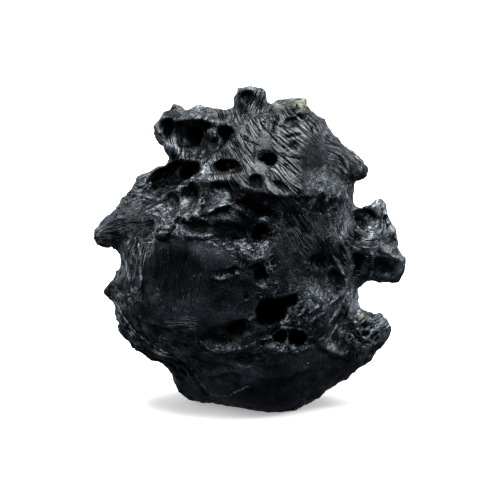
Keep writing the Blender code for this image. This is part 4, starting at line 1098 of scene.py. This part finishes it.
def shape_skin(obj, rock):
    """Moves the even skin's points into scallops, chips, flow lines, crinkles and burst bubbles."""
    points = points_of(obj)
    normals = normals_of(obj)
    view = seen_from_front(points)
    front = front_share(points, normals)
    calm = calmness(view, front)
    lively = 1 - calm
    wild = lively * (1 - 0.6 * front)
    scallops = scallop_push(points, rock.scallop_spacing, rock.scallop_depth, SCALLOP_SEED)
    push = scallops * wild * (1 - front)
    push += rock.chip_depth * lively * (1 - 0.4 * front) * chip_push(points, rock.chip_spacing)
    push += UNEVEN_HEIGHT * layered_swell(points / UNEVEN_SIZE, UNEVEN_SEED) * (0.1 + lively)
    for share, across, along, strength in flow_fields(points, view, front):
        wanted = share > 0.01
        if not wanted.any():
            continue
        depth = points[wanted, 1]
        lines = streaks(across[wanted], along[wanted], depth, STREAK_SEED, rock.line_spacing)
        push[wanted] += rock.line_height * (strength * share * (1 - 0.5 * calm))[wanted] * lines
    crinkles = 1
    for number, (width, depth) in enumerate(CRINKLES):
        crinkles = crinkles - depth * np.abs(swell(points / width, CRINKLE_SEED + number))
    push += crinkled_share(view, front) * crinkles
    push += bubble_push(points, np.maximum(0.6 * calm, 0.75 * front), rock.bubbles, BUBBLE_SEED)
    move_points(obj, points + normals * push[:, None])


def settle(obj):
    """Keeps the skin inside the solid's box and flat where it rests."""
    low, high = np.array(CAD_BOX) / MM
    move_points(obj, np.clip(points_of(obj), low, high))


def fewer_faces(obj, triangles):
    """Thins the mesh to so many triangles, mostly where it is flat."""
    count = sum(len(face.vertices) - 2 for face in obj.data.polygons)
    if count <= triangles:
        return
    thinning = obj.modifiers.new("fewer faces", "DECIMATE")
    thinning.ratio = triangles / count
    apply_modifiers(obj)


def store(obj, name, values):
    """Leaves one value for each point on the mesh, under a name that the glass reads."""
    attribute = obj.data.attributes.new(name, "FLOAT", "POINT")
    attribute.data.foreach_set("value", values.astype(np.float32))


def nearness(view, front, lines, reach):
    """1 on the lines, falling to 0 at so many millimetres from them as the eye sees it."""
    places = [place for line in lines for place in seen_from_front(line)]
    tree = KDTree(len(places))
    for number, place in enumerate(places):
        tree.insert((*place, 0), number)
    tree.balance()
    gaps = np.array([tree.find((*place, 0))[2] for place in view])
    return np.clip(1 - gaps / reach, 0, 1) * front


def painted_shininess(points, view, front):
    """How much of the usual gloss each point has, which paints light and shade: less at the back, and
    its own in each wider place and on each facet.
    """
    shine = 1 - BACK_DULLING * smooth_step(0.0, 8.0, points[:, 1]) * (1 - front)
    ragged = with_bays(view)
    for _, place, half_sizes, change in PAINTED_SHINES:
        shine *= 1 + change * in_area(ragged, place, half_sizes, edge=0.4) * front
    for _, gloss, _, corners in FACETS:
        shine *= 1 + (gloss - 1) * in_outline(view, corners, FACET_EDGE) * front
    return shine


def thinness(points, normals, view):
    """1 where the glass is so thin that light comes through. A thin place reaches about four radii
    back from its nearest point, and not round to the back of the rock."""
    thin = np.zeros(len(points))
    for _, place, radius in THIN_PLACES:
        patch = in_area(view, place, (radius, radius), edge=0.5)
        behind = points[:, 1] - points[patch > 0.5, 1].min()
        thin = np.maximum(thin, patch * (1 - smooth_step(2.5 * radius, 4 * radius, behind)))
    return thin * smooth_step(-0.6, 0.0, normals @ (0, -1, 0))


def strongest_flow(points, view, front):
    """Where each point lies across the strongest flow there, and how surely that one is strongest."""
    best = np.zeros(len(points))
    second = np.zeros(len(points))
    flow = np.zeros(len(points))
    for share, across, _, strength in flow_fields(points, view, front):
        share = share * np.minimum(strength, 1)
        wins = share > best
        second = np.where(wins, best, np.maximum(second, share))
        flow = np.where(wins, across, flow)
        best = np.maximum(best, share)
    return flow, best * smooth_step(0.0, 0.2, best - second)


def store_looks(obj, rims, slits):
    """Leaves on the mesh what the glass needs to know of each point."""
    points = points_of(obj)
    normals = normals_of(obj)
    view = seen_from_front(points)
    front = front_share(points, normals)
    rise = ((points - relaxed(points, edges_of(obj), 6)) * normals).sum(axis=1)
    flow, flow_sure = strongest_flow(points, view, front)
    store(obj, "proud", np.clip(rise / PROUD_HEIGHT, -1, 1))
    store(obj, "calm", calmness(view, front))
    store(obj, "rim", nearness(view, front, rims, RIM_REACH))
    store(obj, "slit", nearness(view, front, slits, SLIT_REACH))
    store(obj, "crinkle", crinkled_share(view, front))
    store(obj, "shine", painted_shininess(points, view, front))
    store(obj, "thin", thinness(points, normals, view))
    store(obj, "flow", flow)
    store(obj, "flow_sure", flow_sure)


# ---------------------------------------------------------------- materials


# Settings of the nodes that do sums on values.
TIMES = {"operation": "MULTIPLY"}
PLUS = {"operation": "ADD"}
SMOOTHLY = {"interpolation_type": "SMOOTHSTEP"}

# Values stored on the skin, which the glass reads.
STORED = ("proud", "calm", "thin", "rim", "slit", "crinkle", "shine", "flow", "flow_sure")

# Patterns of the glass: width of their features in millimetres, and how much finer detail they have
# and how rough it is. Dust and glints, and etching, are as coarse as they need to be to show.
NOISES = {
    "clouds": (8.0, 2.0, 0.5),
    "chips": (0.8, 2.0, 0.5),
    "bruises": (2.2, 2.0, 0.5),
    "blotches": (1.2, 3.0, 0.5),
    "dust_and_glints": (0.22, 0.0, 0.5),
    "drifts": (4.0, 2.0, 0.5),
    "etching": (0.28, 1.0, 0.5),
    "grain": (0.7, 3.0, 0.85),
}

# Ribs of the glass: the stored value that they lie across, spacing and length in millimetres, and
# how wide the grooves between them are. Flow lines are long, and wrinkles run every way.
RIBS = {
    "broad ribs": ("flow", 0.9, 12.0, 0.04),
    "fine ribs": ("flow", 0.42, 6.0, 0.055),
    "wrinkles": ("calm", 4.0, 1.5, 0.08),
    "fine wrinkles": ("calm", 4.0, 0.7, 0.10),
}

# Width of the shell-shaped chips in millimetres, and the waves that bend them, with their reach.
# Then the marks that chips and drifts break up: what is broken up, by what, and how much.
CHIP_SIZES = {"large": 2.0, "small": 0.9}
CHIP_WAVE = 2.5
CHIP_BEND = 2.2
BROKEN_UP = {
    "near rim": ("rim", "chips", 0.9),
    "near slit": ("slit", "chips", 0.3),
    "drifting dust": ("dust_and_glints", "drifts", 0.35),
}

# Shares drawn from the marks: the mark, the range that it rises over, and the shares at its ends.
SHARES = {
    # Crests that have been rubbed and are lighter as a painted highlight, and furrows, which are dulled
    # as painted shade because they get less light than crests.
    "crest": ("proud", 0.15, 0.9, 0.0, 1.0),
    "furrow": ("proud", -0.7, 0.6, 0.15, 0.75),
    # Where the flow is clear there are lines, and elsewhere wrinkles, chips and bruises.
    "sure": ("flow_sure", 0.03, 0.6, 0.0, 1.0),
    "wrinkling": ("sure", 0.0, 1.0, 1.0, 0.2),
    "chipping": ("sure", 0.0, 1.0, 1.0, 0.35),
    "bruising": ("sure", 0.0, 1.0, 0.8, 0.2),
    # Calm places have less relief and finer grain, and are glossier.
    "loose": ("calm", 0.1, 0.7, 1.0, 0.2),
    "grain height": ("calm", 0.0, 1.0, 0.10, 0.04),
    "roughness": ("calm", 0.0, 1.0, 0.30, 0.26),
    # Lighter clouds in the glass.
    "cloudy": ("clouds", 0.35, 0.65, 0.0, 1.0),
    # Hair-thin pale lines on rims, painted highlights that are partly chipped edges, and dark lines
    # beside slits, painted shade, broken up every millimetre or so.
    "rim highlight": ("near rim", 1.26, 1.36, 0.0, 0.85),
    "beside slit": ("near slit", 0.93, 1.03, 1.0, 0.0),
    # The ridges between shell-shaped chips, and the patches where they are bruised; the pale lines on
    # these ridges are painted highlights as well as bruises.
    "large edges": ("large ridges", 0.01, 0.05, 1.0, 0.0),
    "small edges": ("small ridges", 0.02, 0.09, 0.4, 0.0),
    "bruised": ("bruises", 0.52, 0.60, 0.0, 1.0),
    # Where the glass is thin, the daylight coming through is painted on as olive, in blotches, as its
    # thickness changes quickly there.
    "blotchy": ("blotches", 0.38, 0.6, 0.0, 1.0),
    # Pale dust and tiny chips lie in drifts, with painted glints among them.
    "dusty": ("drifting dust", 0.98, 1.04, 0.0, 0.5),
    # The finest etching is a salt and pepper of pale and dark, and of bright and dull.
    "peppered": ("etching", 0.52, 0.64, 0.0, 0.35),
    "etched": ("etching", 0.35, 0.65, 0.6, 1.4),
    # Facets that shine less are also darker in colour: painted shade.
    "lit": ("shine", 0.0, 1.0, 0.0, 1.0),
    # Grooves are too narrow for light to get out of again, so they get painted shade as less gloss.
    "open broad": ("broad ribs", 0.0, 1.0, 0.08, 1.0),
    "open fine": ("fine ribs", 0.0, 1.0, -0.1, 1.4),
}


def linear(hex_colour):
    """An sRGB hex colour as linear red, green, blue and full alpha."""
    channels = [int(hex_colour[i : i + 2], 16) / 255 for i in (1, 3, 5)]
    return [c / 12.92 if c <= 0.04045 else ((c + 0.055) / 1.055) ** 2.4 for c in channels] + [1.0]


def add_node(tree, kind, inputs=(), output=0, **settings):
    """Adds a node and gives one of its outputs, if it has any. Its inputs are plain values or
    sockets to link from, either in the node's own order or by their names or numbers."""
    node = tree.nodes.new("ShaderNode" + kind)
    for name, value in settings.items():
        setattr(node, name, value)
    for key, value in inputs.items() if isinstance(inputs, dict) else enumerate(inputs):
        if isinstance(value, bpy.types.NodeSocket):
            tree.links.new(value, node.inputs[key])
        else:
            node.inputs[key].default_value = value
    return node.outputs[output] if node.outputs else None


def per_mm(size_mm):
    """The scale of a pattern whose features are so many millimetres wide."""
    return 1 / (size_mm * MM)


def ribs(tree, place, flow, spacing_mm, length_mm, groove):
    """Ribs with narrow grooves between them, drawn out along the flow: 0 in a groove, 1 on a rib."""
    add = functools.partial(add_node, tree)
    along = add("VectorMath", {0: place, "Scale": per_mm(length_mm)}, operation="SCALE")
    across = add("Math", (flow, 1 / spacing_mm), **TIMES)
    inputs = {"Vector": along, "W": across, "Scale": 1.0, "Detail": 1.0}
    noise = add("TexNoise", inputs, noise_dimensions="4D")
    off_middle = add("Math", (noise, 0.5), operation="SUBTRACT")
    size = add("Math", (off_middle,), operation="ABSOLUTE")
    return add("MapRange", (size, 0.0, groove), **SMOOTHLY)


def bent_place(tree, place, wave_mm, reach_mm):
    """A place pushed about by a swell, so that what is drawn on it bends."""
    add = functools.partial(add_node, tree)
    noise = add("TexNoise", {"Vector": place, "Scale": per_mm(wave_mm), "Detail": 1.0}, "Color")
    push = add("VectorMath", (noise, (0.5, 0.5, 0.5)), operation="SUBTRACT")
    push = add("VectorMath", {0: push, "Scale": reach_mm * MM}, operation="SCALE")
    return add("VectorMath", (place, push), operation="ADD")


def marks_of_glass(tree):
    """What the skin's stored values and the patterns of the glass say of each point, by name."""
    add = functools.partial(add_node, tree)
    place = add("TexCoord", output="Object")
    marks = {name: add("Attribute", output="Fac", attribute_name=name) for name in STORED}
    for name, (size_mm, detail, roughness) in NOISES.items():
        inputs = {"Vector": place, "Scale": per_mm(size_mm), "Detail": detail, "Roughness": roughness}
        marks[name] = add("TexNoise", inputs)
    for name, (across, spacing_mm, length_mm, groove) in RIBS.items():
        marks[name] = ribs(tree, place, marks[across], spacing_mm, length_mm, groove)
    wavy = bent_place(tree, place, CHIP_WAVE, CHIP_BEND)
    for name, size_mm in CHIP_SIZES.items():
        inputs = {"Vector": wavy, "Scale": per_mm(size_mm), "Randomness": 1.0}
        middle = add("TexVoronoi", inputs, "Distance", feature="F1")
        marks[name + " bowls"] = add("Math", (middle, middle), **TIMES)
        marks[name + " ridges"] = add("TexVoronoi", inputs, "Distance", feature="DISTANCE_TO_EDGE")
    for name, (mark, breaking, much) in BROKEN_UP.items():
        inputs = (marks[breaking], much, marks[mark])
        marks[name] = add("Math", inputs, operation="MULTIPLY_ADD")
    for name, (mark, *ends) in SHARES.items():
        marks[name] = add("MapRange", (marks[mark], *ends), **SMOOTHLY)
    return marks


def glass_colour(tree, marks, rock):
    """The glass's colour, in layers: how much of each one shows, and its tint. Lighter crests, pale
    rim and ridge lines and pale specks are partly painted highlights, olive thin places are painted
    light coming through, and the darkening where gloss is low is painted shade.
    """
    add = functools.partial(add_node, tree)
    # Pale lines on the ridges between chips, in bruised patches: painted highlights as well as bruises.
    bruises = add("Math", (marks["large edges"], marks["small edges"]), **PLUS)
    for name in ("bruised", "loose", "loose", "bruising"):
        bruises = add("Math", (bruises, marks[name]), **TIMES)
    olive = add("Math", (marks["thin"], marks["blotchy"]), **TIMES)
    colour = linear(rock.glass_dark)
    for share, tint in (
        (marks["cloudy"], rock.glass_light),
        # Rubbed crests: lighter as wear and as a painted highlight.
        (marks["crest"], rock.worn_edge_and_highlight),
        # Pale lines on rims and chip ridges: painted highlights, partly chipped glass.
        (marks["rim highlight"], rock.chipped_rim_highlight),
        (bruises, rock.chipped_rim_highlight),
        # Olive where the glass is thin: painted light coming through.
        (olive, rock.light_through_thin_edge),
        # Pale specks: dust, and painted glints.
        (marks["dusty"], rock.dust_and_glints),
        (marks["peppered"], rock.worn_edge_and_highlight),
    ):
        colour = add("Mix", {0: share, 6: colour, 7: linear(tint)}, 2, data_type="RGBA")
    # Painted shade: the colour goes towards black where the gloss is painted down.
    return add("Mix", {0: marks["lit"], 6: linear(BLACK), 7: colour}, 2, data_type="RGBA")


def glass_normal(tree, marks):
    """The relief that is too fine for the mesh: pairs of marks with their heights in millimetres,
    and the shares that lessen each pair."""
    add = functools.partial(add_node, tree)
    folds = add("Math", (marks["crinkle"], 3.0, marks["loose"]), operation="MULTIPLY_ADD")
    height = add("Math", (marks["grain"], marks["grain height"]), **TIMES)
    for large, large_height, small, small_height, shares in (
        ("large bowls", 0.2, "small bowls", 0.12, (marks["loose"], marks["chipping"])),
        ("wrinkles", 0.08, "fine wrinkles", 0.03, (folds, marks["wrinkling"])),
        ("broad ribs", 0.14, "fine ribs", 0.10, (marks["sure"],)),
    ):
        part = add("Math", (marks[small], small_height), **TIMES)
        part = add("Math", (marks[large], large_height, part), operation="MULTIPLY_ADD")
        for share in shares:
            part = add("Math", (part, share), **TIMES)
        height = add("Math", (height, part), **PLUS)
    return add("Bump", {"Height": height, "Strength": 1.0, "Distance": MM}, "Normal")


def glass_gloss(tree, marks):
    """How much light each point sends back: less from grooves, from between wrinkles, from furrows
    and from slits, as painted shade, and by its own share on each facet, as painted light and shade."""
    add = functools.partial(add_node, tree)
    lined = add("Math", (marks["open broad"], marks["open fine"]), **TIMES)
    gloss = add("Mix", {0: marks["sure"], 2: 1.0, 3: lined}, data_type="FLOAT")
    wrinkled = add("Math", (marks["wrinkles"], marks["fine wrinkles"]), **TIMES)
    creased = add("MapRange", (wrinkled, 0.0, 1.0, 0.3, 1.0), **SMOOTHLY)
    showing = add("Math", (marks["loose"], marks["wrinkling"]), **TIMES)
    crease = add("Mix", {0: showing, 2: 1.0, 3: creased}, data_type="FLOAT")
    for share in (crease, marks["furrow"], marks["beside slit"], marks["shine"], marks["etched"]):
        gloss = add("Math", (gloss, share), **TIMES)
    return gloss


def melted_black_glass(rock):
    """Tektite glass, quenched in flight and etched in the ground: nearly black, semi-gloss, its
    reflections broken by fine flow lines and cool with a painted tint of light; worn crests go grey,
    partly as a painted highlight, rims carry pale painted highlights, thin places are olive as painted
    daylight coming through, and holes, grooves and furrows hold painted shade."""
    material = bpy.data.materials.new("tektite_glass_melted_and_etched")
    material.use_nodes = True
    tree = material.node_tree
    tree.nodes.clear()
    add = functools.partial(add_node, tree)
    marks = marks_of_glass(tree)
    # Rubbed crests are a little duller.
    rough = add("Math", (marks["crest"], 0.08, marks["roughness"]), operation="MULTIPLY_ADD")
    inputs = {
        "Base Color": glass_colour(tree, marks, rock),
        "Roughness": rough,
        "IOR": 1.51,
        "Specular IOR Level": glass_gloss(tree, marks),
        # Painted light: the reflections take a cool tint that stands in for the lights' colour.
        "Specular Tint": linear(rock.reflection_light_tint),
        "Normal": glass_normal(tree, marks),
    }
    add("OutputMaterial", {"Surface": add("BsdfPrincipled", inputs)})
    return material


def matt_white_sweep(stage):
    """Matt white card: no gloss, so that only the rock's soft shadow shows on it."""
    material = bpy.data.materials.new("white_card_matt")
    material.use_nodes = True
    tree = material.node_tree
    tree.nodes.clear()
    inputs = {
        "Base Color": linear(stage.floor_colour),
        "Roughness": 1.0,
        "Specular IOR Level": 0.0,
        "Emission Color": linear(WHITE),
        "Emission Strength": stage.floor_glow,
    }
    card = add_node(tree, "BsdfPrincipled", inputs)
    add_node(tree, "OutputMaterial", {"Surface": card})
    return material


# ---------------------------------------------------------------- settings


class TektiteRock(PropertyGroup):
    """Sizes and colours of the skin. Lengths are millimetres."""

    face_size: FloatProperty(
        name="Face size", description="Width of the skin's faces before thinning", default=0.25, min=0.1
    )
    triangles: IntProperty(
        name="Triangles", description="Most triangles the skin keeps", default=192000, min=1000
    )
    line_spacing: FloatProperty(
        name="Line spacing", description="Distance between carved flow lines", default=1.05, min=0.2
    )
    line_height: FloatProperty(
        name="Line height", description="Height of carved flow lines", default=0.075, min=0.0
    )
    scallop_spacing: FloatProperty(
        name="Scallop spacing", description="Distance between scallops", default=2.6, min=0.5
    )
    scallop_depth: FloatProperty(
        name="Scallop depth", description="Depth of the scallops", default=0.75, min=0.0
    )
    chip_spacing: FloatProperty(
        name="Chip spacing", description="Distance between shell-shaped chips", default=2.6, min=0.5
    )
    chip_depth: FloatProperty(
        name="Chip depth", description="Half depth of the chips", default=0.17, min=0.0
    )
    bubbles: IntProperty(
        name="Bubbles", description="Number of burst bubbles tried", default=420, min=0
    )
    glass_dark: StringProperty(
        name="Dark glass", description="The glass where it is darkest, as sRGB hex", default="#08090A"
    )
    glass_light: StringProperty(
        name="Light glass", description="The glass in lighter clouds, as sRGB hex", default="#0F1114"
    )
    # A cool tint on all the glass's reflections, standing in for the colour of the lights: painted
    # light.
    reflection_light_tint: StringProperty(
        name="Sheen", description="Tint of the glass's cool reflections, as sRGB hex", default="#ECF8FF"
    )
    # Rubbed crests, lighter partly as wear and partly as a painted highlight; also the pale grains of
    # the etching.
    worn_edge_and_highlight: StringProperty(
        name="Worn edge", description="Rubbed crests, as sRGB hex", default="#14171A"
    )
    # Hair-thin pale lines on rims and on the ridges between chips: painted highlights, partly chipped
    # glass.
    chipped_rim_highlight: StringProperty(
        name="Chipped rim", description="Hair-thin chipped rims, as sRGB hex", default="#969DA4"
    )
    # Pale specks in drifts: dust and tiny chips, and painted glints.
    dust_and_glints: StringProperty(
        name="Dust", description="Pale dust and tiny chips, as sRGB hex", default="#A9B0B8"
    )
    # Olive of thin glass: painted light that comes through it.
    light_through_thin_edge: StringProperty(
        name="Thin edge", description="Glass that light comes through, as sRGB hex", default="#858264"
    )


class TektiteStage(PropertyGroup):
    """Floor, lights and camera."""

    floor_colour: StringProperty(
        name="Floor", description="The floor's colour, as sRGB hex", default="#F6F1EA"
    )
    top_light: FloatProperty(
        name="Top light", description="Power of the light overhead", default=5.0, min=0.0, unit="POWER"
    )
    side_light: FloatProperty(
        name="Side light", description="Power of each side light", default=0.7, min=0.0, unit="POWER"
    )
    rear_light: FloatProperty(
        name="Rear light", description="Power of the light behind", default=1.6, min=0.0, unit="POWER"
    )
    sky_light: FloatProperty(
        name="Sky light", description="Brightness of the room overhead", default=0.9, min=0.0
    )
    back_light: FloatProperty(
        name="Back light", description="Brightness of the room behind the rock", default=0.6, min=0.0
    )
    room_light: FloatProperty(
        name="Room light", description="Brightness of the room around the rock", default=0.26, min=0.0
    )
    floor_glow: FloatProperty(
        name="Floor glow", description="Light that the floor gives off itself", default=0.335, min=0.0
    )


# ---------------------------------------------------------------- operators


class TEKTITE_OT_skin(Operator):
    """Grow the glass skin over the solid"""

    bl_idname = "tektite.skin"
    bl_label = "Grow skin"

    def execute(self, context):
        rock = context.scene.tektite_rock
        skin = copy_of_node("tektite_skin")
        weld(skin)
        even_faces(skin, FIRST_FACES * rock.face_size)
        round_off(skin, FACET_ROUNDING)
        shift_outline(skin)
        points, front = even_front(skin)
        rims, slits = shape_forms(skin, points, front)
        even_faces(skin, rock.face_size)
        round_off(skin, LAST_ROUNDING)
        shape_skin(skin, rock)
        fewer_faces(skin, rock.triangles)
        settle(skin)
        store_looks(skin, rims, slits)
        skin.data.shade_smooth()
        skin.data.materials.append(melted_black_glass(rock))
        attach(skin, "root")
        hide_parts(NODE)
        return {"FINISHED"}


def soft_light(name, place_mm, size_mm, power):
    """A square soft box that points at the rock's middle."""
    lamp = bpy.data.lights.new(name, "AREA")
    lamp.size = size_mm * MM
    lamp.energy = power
    obj = bpy.data.objects.new(name, lamp)
    bpy.context.scene.collection.objects.link(obj)
    obj.location = Vector(place_mm) * MM
    toward = Vector(EYE_AIM) * MM - obj.location
    obj.rotation_euler = toward.to_track_quat("-Z", "Y").to_euler()


def room(stage):
    """A room that is bright overhead and behind and dark below, and that the camera sees as white."""
    world = bpy.data.worlds.new("white_room")
    bpy.context.scene.world = world
    world.use_nodes = True
    tree = world.node_tree
    tree.nodes.clear()
    add = functools.partial(add_node, tree)
    direction = add("TexCoord", output="Generated")
    height = add("SeparateXYZ", (direction,), "Z")
    depth = add("SeparateXYZ", (direction,), "Y")
    low_light = LOW_ROOM * stage.room_light
    overhead = add("MapRange", (height, 0.3, 0.95, 0.0, stage.sky_light), **SMOOTHLY)
    around = add("MapRange", (height, -0.6, 0.0, low_light, stage.room_light), **SMOOTHLY)
    above = add("MapRange", (height, -0.25, 0.15), **SMOOTHLY)
    behind = add("MapRange", (depth, 0.2, 1.0, 0.0, stage.back_light), **SMOOTHLY)
    behind = add("Math", (behind, above), **TIMES)
    strength = add("Math", (overhead, behind), **PLUS)
    strength = add("Math", (strength, around), **PLUS)
    dim = add("Background", {"Color": linear(DIM_SKY), "Strength": strength})
    white = add("Background", {"Color": linear(WHITE), "Strength": 1.0})
    seen = add("LightPath", output="Is Camera Ray")
    add("OutputWorld", {"Surface": add("MixShader", (seen, dim, white))})


def white_floor(stage):
    """A wide floor that shows the rock's shadow but doesn't light the rock."""
    bm = bmesh.new()
    bmesh.ops.create_grid(bm, x_segments=1, y_segments=1, size=FLOOR_REACH)
    mesh = bpy.data.meshes.new("floor")
    bm.to_mesh(mesh)
    bm.free()
    floor = bpy.data.objects.new("floor", mesh)
    bpy.context.scene.collection.objects.link(floor)
    mesh.materials.append(matt_white_sweep(stage))
    floor.visible_glossy = False
    floor.visible_diffuse = False


def camera_at_eye():
    """The camera, with a lens that frames the rock from the eye."""
    camera = bpy.data.cameras.new("eye")
    camera.sensor_width = SENSOR_WIDTH
    camera.lens = SENSOR_WIDTH * EYE_DISTANCE / FRAME_WIDTH
    obj = bpy.data.objects.new("eye", camera)
    bpy.context.scene.collection.objects.link(obj)
    back = Vector(TOWARD_EYE)
    obj.location = (Vector(EYE_AIM) + back * EYE_DISTANCE) * MM
    obj.rotation_euler = (-back).to_track_quat("-Z", "Y").to_euler()
    bpy.context.scene.camera = obj


class TEKTITE_OT_stage(Operator):
    """Set up the floor, the lights and the camera"""

    bl_idname = "tektite.stage"
    bl_label = "Set the stage"

    def execute(self, context):
        stage = context.scene.tektite_stage
        white_floor(stage)
        room(stage)
        for name, place_mm, size_mm, power in LIGHTS:
            soft_light(name, place_mm, size_mm, getattr(stage, power))
        camera_at_eye()
        context.scene.view_settings.view_transform = "Standard"
        return {"FINISHED"}


class TEKTITE_PT_panel(Panel):
    """Settings and steps of the tektite"""

    bl_label = "Tektite"
    bl_idname = "TEKTITE_PT_panel"
    bl_space_type = "VIEW_3D"
    bl_region_type = "UI"
    bl_category = "Tektite"

    def draw(self, context):
        for settings in (context.scene.tektite_rock, context.scene.tektite_stage):
            box = self.layout.box()
            for name in settings.__annotations__:
                box.prop(settings, name)
        for operator in (TEKTITE_OT_skin, TEKTITE_OT_stage):
            self.layout.operator(operator.bl_idname)


CLASSES = (TektiteRock, TektiteStage, TEKTITE_OT_skin, TEKTITE_OT_stage, TEKTITE_PT_panel)


def register():
    for cls in CLASSES:
        bpy.utils.register_class(cls)
    bpy.types.Scene.tektite_rock = PointerProperty(type=TektiteRock)
    bpy.types.Scene.tektite_stage = PointerProperty(type=TektiteStage)


def unregister():
    del bpy.types.Scene.tektite_stage
    del bpy.types.Scene.tektite_rock
    for cls in reversed(CLASSES):
        bpy.utils.unregister_class(cls)


def main():
    register()
    bpy.ops.tektite.skin()
    bpy.ops.tektite.stage()


if __name__ == "__main__":
    main()
